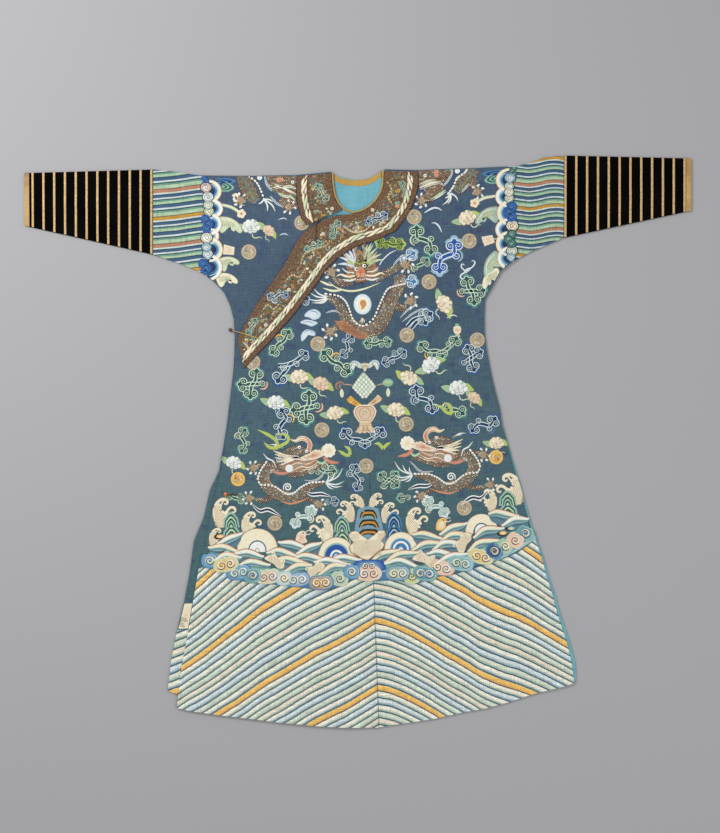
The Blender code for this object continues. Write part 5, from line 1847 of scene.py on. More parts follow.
# Half-round suns: middle, then the radius and colour of each ring.
SUNS = (
    ((-287, 930), ((53, "foam"), (46, "cream"), (25, "slate"), (21.5, "white"), (6, "tan"), (3.6, "white"))),
    ((-90, 954), ((48, "foam"), (42, "cream"), (35, "sea_mist"), (31, "royal"), (18, "white"),
                  (13, "mid_blue"), (8, "pale_ice"), (4, "royal"))),
    ((71, 942), ((43, "foam"), (38, "cream"), (30, "sky"), (27, "mid_blue"), (22, "white"),
                 (17, "mid_blue"), (7, "pale_ice"))),
    ((274, 903), ((42, "foam"), (36, "cream"), (21, "slate"), (17.5, "white"), (7, "pink"), (3.6, "white"))),
)
GREEN_ROCK = ("sea_mist", "deep_green", "leaf_pale", "deep_green")
BLUE_ROCK = ("mid_blue", "navy", "sky", "navy")
TIER_ROCK = ("steel", "dark", "ochre", "dark", "sea_green")
# Rocks: middle of the foot, width, height, colours, tiers and bands in each tier.
ROCKS = (
    ((-350, 893), 46, 62, GREEN_ROCK, 2, 7), ((-74, 915), 44, 64, GREEN_ROCK, 2, 7),
    ((56, 908), 46, 62, BLUE_ROCK, 2, 7), ((342, 863), 50, 60, GREEN_ROCK, 2, 7),
    ((-7, 928), 84, 96, TIER_ROCK, 4, 5),
)
# Waves: left foot, top and right foot.
WAVES = (
    ((292, 860), (317, 851), (369, 868)), ((324, 891), (357, 869), (395, 876)),
    ((168, 908), (199, 884), (240, 881)), ((-388, 910), (-357, 891), (-322, 885)),
    ((99, 904), (131, 898), (175, 917)), ((170, 924), (201, 902), (250, 910)),
    ((-235, 911), (-200, 909), (-161, 928)), ((252, 919), (283, 892), (331, 897)),
    ((-190, 942), (-160, 920), (-125, 916)), ((-410, 918), (-373, 911), (-331, 932)),
    ((98, 944), (132, 922), (177, 927)), ((149, 946), (179, 922), (228, 929)),
    ((-265, 937), (-233, 926), (-184, 948)), ((-351, 936), (-311, 927), (-271, 946)),
    ((-5, 967), (24, 944), (69, 941)), ((237, 953), (270, 924), (335, 927)),
    ((-108, 959), (-74, 948), (-27, 963)), ((-199, 953), (-166, 941), (-111, 960)),
    ((134, 954), (166, 944), (216, 964)), ((28, 973), (66, 946), (119, 949)),
    ((-245, 954), (-211, 947), (-152, 971)), ((-148, 964), (-112, 954), (-55, 974)),
    ((-337, 966), (-304, 951), (-255, 967)), ((28, 975), (68, 962), (120, 989)),
    ((-223, 985), (-188, 965), (-152, 971)), ((-137, 996), (-100, 969), (-55, 977)),
    ((158, 977), (194, 955), (239, 957)), ((-397, 951), (-366, 932), (-326, 946)),
)
# Foam crests: place of the foot, height, flip, turn, and whether a third tip leans back.
CRESTS = (
    ((-377, 867), 66, 0, 0, 0), ((-400, 913), 42, 0, 16, 0), ((-312, 892), 56, 0, 6, 0),
    ((-112, 919), 66, 1, -4, 0), ((-50, 866), 50, 1, -12, 0), ((-20, 832), 38, 1, -32, 0),
    ((0, 833), 38, 0, 28, 0), ((34, 872), 48, 0, 12, 0), ((102, 904), 62, 0, 2, 0),
    ((301, 854), 52, 1, 0, 0), ((368, 837), 74, 1, -11, 0),
)
# Small lozenges between the rocks: place, colour and turn.
LOZENGES = (
    ((-379, 892), "yellow", 0), ((-363, 932), "sea_green", 0), ((-335, 945), "mid_blue", 25),
    ((327, 910), "yellow", 0), ((348, 899), "sea_green", 0),
)
# Sheets of foam: place, width, height and turn.
SLABS = (
    ((-242, 958), 54, 24, -38), ((-145, 983), 54, 26, 32),
    ((226, 929), 58, 30, 58), ((131, 967), 60, 26, -24),
)
# The sheet of foam at the foot of the middle rock, and the boxes that its net fills.
FOAM_HEART = (
    (-60, 900), (-52, 891), (-39, 890), (-27, 902), (-10, 914), (9, 901),
    (21, 891), (33, 892), (37, 902), (24, 918), (32, 927), (27, 938),
    (12, 947), (0, 958), (-12, 966), (-28, 962), (-39, 953), (-55, 945),
    (-59, 930), (-47, 919), (-56, 910),
)
FOAM_HEART_NETS = ((-48, 22, 914, 955), (-53, -32, 898, 912), (13, 34, 898, 915))
# The border of curled foam: place, turn, lobe, second colour, number of coils.
CURL_BORDER = (
    ((-407, 951), 4, "mid_blue", "sky", 1), ((-367, 962), 10, "pale_green", "yellow", 2),
    ((-335, 983), 8, "mid_blue", "sky", 2), ((-301, 992), 6, "sea_green", "mid_blue", 1),
    ((-263, 996), 4, "pale_green", "pink", 2), ((-223, 1002), 4, "sky", "cream", 1),
    ((-189, 1006), 2, "mid_blue", "pale_blue", 2), ((-131, 1016), 2, "mid_blue", "yellow", 2),
    ((-84, 1008), -6, "pale_green", "sea_mist", 1), ((-54, 992), -6, "mid_blue", "sky", 1),
    ((-11, 998), 0, "blush", "pink", 4), ((62, 1000), 0, "mid_blue", "pale_green", 2),
    ((96, 1009), -4, "pale_green", "lime", 1), ((129, 1003), -8, "sea_green", "mid_blue", 2),
    ((172, 990), -14, "pink", "blush", 2), ((220, 981), -12, "sky", "sea_green", 2),
    ((271, 966), -16, "pale_green", "yellow", 2), ((304, 954), -30, "mid_blue", "navy", 1),
    ((332, 943), -26, "sea_green", "pale_green", 1), ((357, 929), -30, "blush", "pink", 1),
    ((383, 912), -24, "sea_green", "mid_blue", 1),
)


def beast(pen, tint, second):
    """A small scaled creature that breathes a curl of mist."""
    pen.fill([(-14, 16), (-12, -2), (-4, -12), (8, -14), (15, -6), (12, 4), (16, 16), (0, 20)], tint,
             0.34, second, rim="tan")
    for row in range(4):
        for k in range(4 - row % 2):
            x, y = -9 + 6 * k + 3 * (row % 2), 14 - 6 * row
            pen.ribbon([(x - 3, y - 1), (x, y + 2), (x + 3, y - 1)], 1.1, second, 0.46)
    pen.ribbon([(12, -10), (20, -14), (26, -12)], 2.0, "cream", 0.4, (1, 0.3))
    pen.ribbon([(12, -4), (22, -4), (27, -8)], 2.0, "white", 0.4, (1, 0.3))
    pen.dot(6, -8, 2.2, "dark", 0.5, sides=8)


# How high each layer of the waters starts, and how far each wave is above the one before.
ROCK_LIFT, CREST_LIFT, SUN_LIFT, WAVE_LIFT, WAVE_LIFT_STEP = 0.1, 0.02, 0.62, 0.85, 0.035
SLAB_LIFT, HEART_LIFT = 1.9, 1.95


def waters(surface):
    """Rocks, foam and rolling waves above the striped hem."""
    art = Art(surface)
    for spot, *shape in ROCKS:
        rock(Pen(art, *spot, lift=ROCK_LIFT), *shape)
    for spot, high, flip, turn, third in CRESTS:
        crest(Pen(art, *spot, 1.0, turn, bool(flip), CREST_LIFT), high, third)
    for spot, rings in SUNS:
        nested_sun(Pen(art, *spot, lift=SUN_LIFT), rings)
    for number, feet in enumerate(WAVES):
        wave(art, feet, WAVE_LIFT + WAVE_LIFT_STEP * number, number)
    for spot, wide, high, turn in SLABS:
        slab(Pen(art, *spot, 1.0, -turn, lift=SLAB_LIFT), wide, high)
    for spot, tint, turn in LOZENGES:
        pen = Pen(art, *spot, 1.0, turn, lift=SLAB_LIFT)
        pen.dot(-4, 1, 11, "dark", 0.14, tall=0.55)
        pen.dot(0, 0, 9.5, tint, 0.3, "cream", tall=0.5)
    middle = Pen(art, 0, 0, lift=HEART_LIFT)
    middle.fill(FOAM_HEART, "foam", 0.3, "cream", soft=False, rim="umber")
    for inside in FOAM_HEART_NETS:
        hatching(middle, inside, 4.4, 1.05, 0.44)
    middle.fill(((-52, 979), (-42, 967), (-19, 964), (13, 965), (28, 974), (27, 992),
                 (-53, 989)), "royal", 0.26, "sky")
    beast(Pen(art, -177, 899, 0.95, lift=0.3), "foam", "pink")
    beast(Pen(art, 174, 880, 0.95, lift=0.3), "yellow", "cream")
    for spot, turn, flip in (((-170, 852), 20, True), ((163, 839), -20, False)):
        cloud(Pen(art, *spot, 0.8, turn, flip, 0.2), "zed", "mist", "cream")
    art.piece("woven_waters")


# Heights of the border: the sheet below it, its long strands and its curls; of the sleeve roots'
# waves and curls; and how far each of these is above its neighbour.
SHEET_LIFT, STRAND_LIFT, CURL_LIFT, ROOT_WAVE_LIFT, ROOT_CURL_LIFT, NEIGHBOUR_STEP = (
    1.8, 1.85, 2.05, 0.6, 1.7, 0.12)


def foam_border(surface):
    """A band of curled foam between the waves and the stripes."""
    art = Art(surface)
    middle = np.array([spot for spot, *_ in CURL_BORDER], float)
    pen = Pen(art, 0, 0, lift=STRAND_LIFT)
    for offset, width, tint in ((-12.0, 22.0, "sea_green"), (6.0, 26.0, "mid_blue"), (-2.0, 12.0, "sky")):
        pen.ribbon(middle + (0.0, offset), width, plain(tint, "slate"), 0.1 + width / 260)
    Pen(art, 0, 0, lift=SHEET_LIFT).fill(
        ((290, 976), (310, 978), (338, 967), (369, 952), (394, 936), (410, 928),
         (403, 908), (370, 922), (332, 945)), "sky", 0.12, "pale_green", soft=False)
    for k, (spot, turn, lobe, second, coils) in enumerate(CURL_BORDER):
        pen = Pen(art, *spot, 0.98, -turn, lift=CURL_LIFT + NEIGHBOUR_STEP * (k % 2))
        curl_pair(pen, lobe, second, coils)
    downs = (1057, 1075, 1095, 1119)
    strip = [(edge(UNDERLAP_SIDE, down) + 2.5, down) for down in downs]
    strip += [(edge(OVERLAP_SIDE, down) - 1.5, down) for down in reversed(downs)]
    pen = Pen(art, 0, 0)
    pen.fill(strip, "foam", 0.3, "blush", soft=False)
    for radius in (4.0, 8.0, 12.0):
        pen.ribbon(coil(-479, 1103, radius, 0.8, 70, 1, inner=0.9), 2.0, "dark_teal", 0.45, soft=False)
    art.piece("woven_foam_border")


# ---------------------------------------------------------------- neckband and sleeve roots


def band_point(stations, share, from_outer):
    """Across and down at a share of a band's length and a distance in from its outer rim."""
    run = gone_along(0.5 * (stations[:, :2] + stations[:, 2:]))
    at = np.stack([np.interp(share * run[-1], run, column) for column in stations.T], axis=-1)
    width = np.hypot(at[..., 2] - at[..., 0], at[..., 3] - at[..., 1])
    part = (from_outer / width)[..., None]
    return at[..., 2:] + (at[..., :2] - at[..., 2:]) * part, run[-1], width


# A rope strand: distance to the next, half its length, how far it leans and its width.
ROPE_PITCH, ROPE_REACH, ROPE_LEAN, ROPE_WIDTH = 18.0, 19.0, 5.4, 13.5


def rope(art, stations):
    """Twisted strands along the band's raised cord."""
    _, length, _ = band_point(stations, np.zeros(1), 0.0)
    count = int(length / ROPE_PITCH)
    steps = np.linspace(-1.0, 1.0, 13)
    across = CORD_FROM_EDGE - ROPE_LEAN * np.sin(0.5 * math.pi * steps)
    for k in range(count):
        share = (k + 0.5) / count
        shares = np.clip(share + ROPE_REACH / length * steps, 0.002, 0.998)
        path, _, _ = band_point(stations, shares, across)
        tint = ("rope_pale", "cream", "rope_pale", "foam_green")[k % 4]
        section = ((-0.5, "dark_brown", 0.0), (-0.36, "brown", 0.5), (-0.22, "rope_shade", 0.8),
                   (-0.06, tint, 1.0), (0.24, tint, 1.0), (0.36, "rope_shade", 0.6), (0.5, "brown", 0.0))
        pen = Pen(art, 0, 0, lift=0.3 * (k % 2))
        pen.ribbon(path, ROPE_WIDTH, section, 1.0, (0.12, 0.12), soft=False)


# Clear strips of a band's field, along its outer rim and along the neck.
FIELD_FROM_RIM, FIELD_FROM_NECK = 33.0, 15.0


def band_figures(art, stations, draw, count):
    """Small leaves, curls and berries crowded on the field of a band."""
    tints = ("olive", "sea_green", "salmon", "tan", "cream", "gold", "deep_green", "umber",
             "slate", "sea_mist", "old_gold")
    for k in range(count):
        share = draw.uniform(0.01, 0.985)
        _, _, width = band_point(stations, np.array(share), 0.0)
        deep = draw.uniform(FIELD_FROM_RIM, float(width) - FIELD_FROM_NECK)
        (x, y), _, _ = band_point(stations, np.array(share), deep)
        pen = Pen(art, x, y, draw.uniform(0.7, 1.15), draw.uniform(0, 360), lift=0.02 * (k % 9))
        tint = tints[draw.integers(len(tints))]
        kind = draw.integers(4)
        if kind == 0:
            pen.spiral(0, 0, 4.6, 1.2, 0, 1, 2.4, tint, 0.35)
        elif kind == 1:
            pen.ribbon([(-7, 2), (-2, -3), (3, 2), (8, -2)], 2.6, tint, 0.35, (0.4, 0.3))
        elif kind == 2:
            pen.fill([(-5, 0), (-1, -3.4), (5, -1), (1, 3)], tint, 0.3, rim="umber")
        else:
            pen.dot(0, 0, 2.4, tint, 0.35, sides=7)


def neck_figures():
    """Figures woven in the neckband: small clouds, coiled dragons, berries and the rope."""
    draw = np.random.default_rng(7)
    art = Art(band_top)
    band_figures(art, OVERLAP_BAND, draw, 330)
    for spot, kind, colours, size, turn in BAND_CLOUDS:
        cloud(Pen(art, *spot, size, turn, lift=0.3), kind, colours, "pale_ice")
    for points, tint in BAND_WORMS:
        pen = Pen(art, 0, 0, lift=0.25)
        pen.ribbon(points, 8.0, ((-0.5, "umber", 0.0), (-0.3, tint, 1.0), (0.1, "olive", 0.9),
                                 (0.5, "umber", 0.0)), 0.4, (0.3, 0.2))
        for x, y in flowing(points, 9.0)[1:-1]:
            pen.dot(x, y - 2.4, 1.5, "cream", 0.6, sides=6)
    for x, y in BAND_BERRIES:
        Pen(art, x, y, lift=0.3).dot(0, 0, 4.6, "bead", 0.5, "tan", rim="umber", sides=12)
    under = Art(underlap_band_top)
    band_figures(under, UNDERLAP_BAND, draw, 60)
    cloud(Pen(under, -93, 44, 0.55, 60, lift=0.2), "bar", "green", "sea_mist")
    rope(under, UNDERLAP_BAND)
    rope(art, OVERLAP_BAND)
    art.piece("woven_band_figures", "neckband_brocade")
    under.piece("woven_underlap_band_figures", "neckband_brocade")


BAND_CLOUDS = (
    ((42, 114), "bar", "blue", 0.62, -15), ((-212, 297), "zed", "blue", 0.62, -60),
    ((-64, 138), "zed", "green", 0.55, 60), ((-120, 178), "bar", "green", 0.5, -20),
    ((-280, 372), "bar", "green", 0.5, -55), ((112, 44), "bar", "green", 0.45, 80),
)
BAND_WORMS = (
    ([(-155, 229), (-141, 197), (-116, 186), (-88, 179), (-75, 162)], "tan"),
    ([(-44, 131), (-19, 147), (8, 145), (26, 131)], "blush"),
    ([(-194, 266), (-176, 249), (-156, 254), (-140, 230)], "salmon"),
    ([(-254, 336), (-238, 321), (-224, 332), (-206, 315)], "tan"),
    ([(68, 20), (80, 43), (71, 63), (83, 83)], "tan"),
    ([(-304, 409), (-292, 429), (-303, 447)], "cream"),
)
BAND_BERRIES = ((-69, 85), (32, 92), (-94, 147), (-184, 283), (-245, 369))

# Curled clouds at the foot of the sleeve stripes: place, size and colours.
ROOT_CURLS = {
    "left": (
        ((-383, 3), "royal", "mid_blue", 0.85), ((-382, 21), "pink", "white", 1.0),
        ((-378, 45), "white", "pale_blue", 1.0), ((-378, 65), "pale_green", "white", 0.9),
        ((-377, 81), "pale_green", "cream", 0.9), ((-382, 110), "royal", "mid_blue", 1.35),
        ((-385, 147), "cream", "white", 1.05), ((-386, 170), "sky", "white", 0.9),
        ((-384, 187), "pale_blue", "white", 0.95), ((-392, 221), "royal", "mid_blue", 1.4)),
    "right": (
        ((386, 7), "deep_green", "sea_green", 0.9), ((378, 25), "sky", "white", 1.0),
        ((375, 46), "pale_green", "white", 0.85), ((374, 61), "cream", "white", 0.85),
        ((374, 76), "pale_green", "cream", 0.85), ((375, 108), "royal", "mid_blue", 1.5),
        ((379, 145), "cream", "blush", 1.1), ((372, 176), "deep_green", "sea_green", 1.4),
        ((376, 208), "pale_green", "white", 1.0), ((373, 223), "sky", "white", 0.8)),
}
# Waves beyond them, seen from the side: place of the top and width.
ROOT_WAVES = {
    "left": (((-345, 30), 52), ((-343, 74), 46), ((-355, 142), 42), ((-347, 112), 52),
             ((-347, 176), 56), ((-350, 220), 60)),
    "right": (((344, 30), 54), ((341, 71), 48), ((344, 112), 60),
              ((338, 153), 50), ((338, 189), 58), ((340, 225), 54)),
}
ROOT_ROCKS = {"left": ((-344, 9), (-335, 20)), "right": ((346, 14), (337, 25))}
ROOT_ARMS = {
    "left": (((-348, 115), 1.0, 0, "foam_green"), ((-352, 217), 0.85, -28, "foam_green"),
             ((-358, 254), 0.85, -14, "cream")),
    "right": (((340, 115), 1.0, 0, "sea_mist"), ((343, 225), 1.1, -38, "sea_mist"),
              ((339, 265), 0.9, -20, "cream")),
}
ROOT_SCROLLS = {
    "left": ((-344, 65), (-319, 73), (-296, 89)), "right": ((339, 68), (311, 72), (287, 84)),
}
ROOT_BOXES = {"left": ((-331, 178), 10), "right": ((317, 177), -14)}


def sleeve_root(side, surface):
    """Curled foam, waves, rocks and scrolls between the sleeve's stripes and the ground."""
    hand = 1 if side == "left" else -1
    art = Art(surface)
    upper, lower = ROOT_ROCKS[side]
    rock(Pen(art, *upper, 1.0, hand * 86, lift=0.1), 22, 38, ("mid_blue", "navy"), 1, 5)
    rock(Pen(art, *lower, 1.0, hand * 100, lift=0.2), 26, 24, ("sea_green", "deep_green"), 1, 5)
    for spot, size, turn, tint in ROOT_ARMS[side]:
        foam_arm(Pen(art, *spot, size, turn, hand < 0, 0.3), tint)
    box, turn = ROOT_BOXES[side]
    pen = Pen(art, *box, 1.0, turn, lift=0.2)
    pen.fill([(-14, -12), (14, -9), (15, 11), (-13, 13)], "cream", 0.35, "blush", soft=False, rim="tan")
    pen.ribbon([(-10, -7), (10, -5), (11, 7), (-9, 9), (-10, -7)], 1.4, "tan", 0.45, soft=False)
    pen.ribbon([(-4, -2), (5, -1), (5, 4), (-4, 4)], 1.4, "salmon", 0.45)
    path = np.array(ROOT_SCROLLS[side], float)
    pen = Pen(art, 0, 0, lift=0.3)
    pen.ribbon(path, 9.0, ((-0.5, "slate", 0.0), (-0.3, "cream", 1.0), (0.2, "pale_green", 1.0),
                           (0.5, "slate", 0.0)), 0.45, (0.8, 0.7))
    wreath(pen, *path[-1], 6.5, 5, 5.6, "cream", 0.5, "blush", "salmon", 10)
    pen.dot(*path[-1], 4.0, "salmon", 0.62, sides=8)
    for k, (spot, wide) in enumerate(ROOT_WAVES[side]):
        tide(Pen(art, *spot, 1.0, 90 * hand, lift=ROOT_WAVE_LIFT + NEIGHBOUR_STEP * k), wide, k)
    for k, (spot, tint, inner, size) in enumerate(ROOT_CURLS[side]):
        pen = Pen(art, *spot, size, 0, hand < 0, ROOT_CURL_LIFT + NEIGHBOUR_STEP * (k % 2))
        if tint in ("royal", "deep_green"):
            for x, y in ((-3, -8), (3, 1), (-2, 9)):
                pen.dot(x, y, 9.0, tint, 0.3, inner, sides=12)
                pen.ribbon(coil(x, y, 6.6, 1.3, 40 * x, 1), 1.7, "navy", 0.46, (0.8, 0.6), soft=False)
            continue
        lobes = np.array([(-11, -8), (-4, -12), (5, -12), (12, -7), (14, 1), (9, 8), (1, 14), (-7, 9),
                          (-13, 2)], float)
        pen.fill(lobes * 1.12, "dark_teal", 0.2)
        pen.fill(lobes, tint, 0.3, inner)
        ring = np.concatenate((lobes, lobes[:1]))
        pen.ribbon(ring * 0.72, 1.8, "dark_teal", 0.4)
        pen.ribbon(coil(0.5, 0, 6.6, 1.2, 200, 1), 2.1, "navy", 0.44, (0.8, 0.6), soft=False)
    art.piece(f"woven_sleeve_root_{side}")


def foam_arm(pen, tint):
    """An arm of foam with a scalloped under side and a curl at its end."""
    shape = [(-6, -18), (12, -20), (28, -15), (42, -5), (51, 8), (53, 19), (46, 23), (41, 17), (44, 11),
             (38, 12), (33, 18), (26, 14), (25, 6), (16, 10), (8, 18), (0, 20), (-6, 8)]
    pen.fill(shape, tint, 0.35, "pale_green", rim="tan")
    pen.ribbon([(0, -14), (16, -14), (32, -6), (44, 8), (48, 18), (44, 18)], 3.0, "cream", 0.5, (0.5, 0.6))
    for k in range(7):
        x = 3.0 + 5.0 * k
        pen.ribbon([(x - 2, -11 + 0.7 * k), (x + 1, -2 + 0.7 * k), (x, 7)], 1.1, "olive", 0.48, soft=False)
        pen.ribbon([(x + 3, -10 + 0.7 * k), (x - 4, 2 + 0.7 * k)], 0.9, "olive", 0.46, soft=False)


TIDE_HEIGHT = 30.0


def tide(pen, wide, number):
    """A steep wave with a cream lip and a blue hollow."""
    lip = ("cream", "white")[number % 2]
    turn = np.linspace(-math.pi / 2, math.pi / 2, 15)
    over = np.stack((0.5 * wide * np.sin(turn), TIDE_HEIGHT - TIDE_HEIGHT * np.cos(turn)), axis=-1)
    pen.fill(np.concatenate((over, [(0.32 * wide, 36), (-0.32 * wide, 36)])), "deep_teal", 0.2, "navy",
             soft=False)
    pen.ribbon(over * (0.5, 0.6) + (0.0, 12.5), 5.0, "mid_blue", 0.3, (0.5, 0.5), soft=False)
    pen.ribbon(over * (0.68, 0.8) + (0.0, 8.0), 6.0, "sky", 0.34, (0.5, 0.5), soft=False)
    section = ((-0.5, "rust", 0.0), (-0.38, "blush", 0.9), (-0.1, lip, 1.0), (0.2, lip, 1.0),
               (0.5, "pale_blue", 0.3))
    pen.ribbon(over + (0.0, 3.0), 10.5, section, 0.5, (0.6, 0.6), soft=False)


# ---------------------------------------------------------------- dragons


def fleck(pen, x, y, long, wide, turn, tint, lift, rim=None):
    """One short raised stitch."""
    angle = 2.0 * math.pi * np.arange(7) / 6
    lean = math.radians(turn)
    ring = np.stack((long * np.cos(angle), wide * np.sin(angle)), axis=-1)
    ring = ring @ np.array(((math.cos(lean), math.sin(lean)), (-math.sin(lean), math.cos(lean))))
    shares = np.array((1.0, 0.6, 0.05))
    flat = pen.origin + ((x, y) + ring[None] * shares[:, None, None]) @ pen.matrix
    high = pen.lift + np.broadcast_to(np.array((THREAD_FOOT, lift, lift))[:, None], flat.shape[:2])
    tints = np.array([as_tint(rim or tint), as_tint(tint), as_tint(tint)])
    pen.art.drape(flat, high, np.broadcast_to(tints[:, None], (*flat.shape[:2], 3)), flat - pen.origin)


SCALE_TINTS = ("scale", "cream", "scale", "scale_pink", "sea_mist", "tan", "scale_pink", "scale")
# Distance between rows of scales, and between the scales of a row.
SCALE_ROW, SCALE_PITCH = 3.4, 4.4
SPINE_STEP = 10.5
TOES, TOE_SPREAD = 5, 200.0


def scaled(pen, points, width, thin, tints=SCALE_TINTS):
    """A scaly body along a path."""
    section = ((-0.5, "brown", 0.0), (-0.36, "scale_dark", 0.9), (0.0, "scale_dark", 1.0),
               (0.36, "scale_dark", 0.9), (0.5, "brown", 0.0))
    pen.ribbon(points, width, section, 0.4, thin)
    path = flowing(points, SCALE_ROW)
    run, aside = headings(path)
    share = np.linspace(0.0, 1.0, len(path))
    taper = tapered(share, thin)
    for k in range(len(path)):
        wide = width * taper[k]
        count = max(int(wide / SCALE_PITCH), 1)
        for j in range(count):
            offset = ((j + 0.5 + 0.25 * (1 if k % 2 else -1)) / count - 0.5) * wide * 0.92
            x, y = path[k] + aside[k] * offset
            lean = math.degrees(math.atan2(run[k, 1], run[k, 0]))
            tint = tints[(k * 7 + j * 11 + (k * j) % 5) % len(tints)]
            fleck(pen, x, y, 2.2, 1.75, lean, tint, 0.62, "scale_dark")


def spine(pen, points):
    """A row of white plates over a dark ridge."""
    path = flowing(points, SPINE_STEP)
    run, _ = headings(path)
    pen.ribbon(points, 6.4, "dark", 0.5)
    for (x, y), (dx, dy) in zip(path, run):
        fleck(pen, x, y, 5.0, 3.1, math.degrees(math.atan2(dy, dx)), "white", 0.95, "bead")


def claw(pen):
    """A spread foot with hooked toes and pale nails."""
    pen.dot(-2, 0, 9.0, "scale", 0.5, "old_gold", rim="brown", sides=10)
    pen.ribbon([(-14, 0), (-2, 0)], 11.0, plain("scale", "brown"), 0.45)
    for k in range(TOES):
        angle = math.radians(-TOE_SPREAD / 2 + TOE_SPREAD * k / (TOES - 1))
        tip = np.array((math.cos(angle), math.sin(angle)))
        side = np.array((-tip[1], tip[0])) * (1 if angle > 0 else -1)
        pen.ribbon([tip * 3, tip * 10, tip * 15 + side * 2], 6.0, plain("scale", "brown"), 0.55, (1, 0.6))
        pen.ribbon([tip * 4, tip * 13], 2.4, "old_gold", 0.66, (1, 0.6))
        nail = tip * 16.5 + side * 3
        fleck(pen, *nail, 5.0, 3.2, math.degrees(math.atan2(tip[1], tip[0])) + 30, "white", 0.8)


def limb(pen, leg, foot, turn, width, thin, size):
    """A scaled leg along its points, and the claw at its end."""
    scaled(pen, leg, width, thin)
    claw(pen.at(*foot, size, turn))


def eye(pen, place, look, sizes, lifts, sides=10):
    """A white eye with a dark rim; its pupil is moved from the middle by its look."""
    (x, y), (white, pupil), (low, high) = place, sizes, lifts
    pen.dot(x, y, white, "white", low, rim="dark", sides=sides)
    pen.dot(x + look[0], y + look[1], pupil, "dark", high, sides=8)


def strands(pen, root, tips, width, tint, rim=None, bend=0.2):
    """Tapering hair from one root to several tips."""
    root = np.array(root, float)
    for tip in tips:
        tip = np.array(tip, float)
        run = tip - root
        middle = root + 0.55 * run + bend * np.array((run[1], -run[0]))
        pen.ribbon([root, middle, tip], width, plain(tint, rim), 0.5, (1.0, 0.2))


def pearl(pen):
    pen.dot(0, 0, 23, "pale_ice", 0.4, "cream", rim="sea_mist", tall=1.16, sides=24)
    pen.dot(0, 0, 18, "white", 0.46, "cream", tall=1.18, sides=20)
    pen.dot(0, 0, 13.5, "cream", 0.52, "blush", tall=1.18, sides=18)
    pen.fill([(0, -12), (8, -9), (10, 0), (6, 8), (-4, 15), (-3, 6), (-7, 0), (-6, -8)], "ochre", 0.7,
             "salmon")


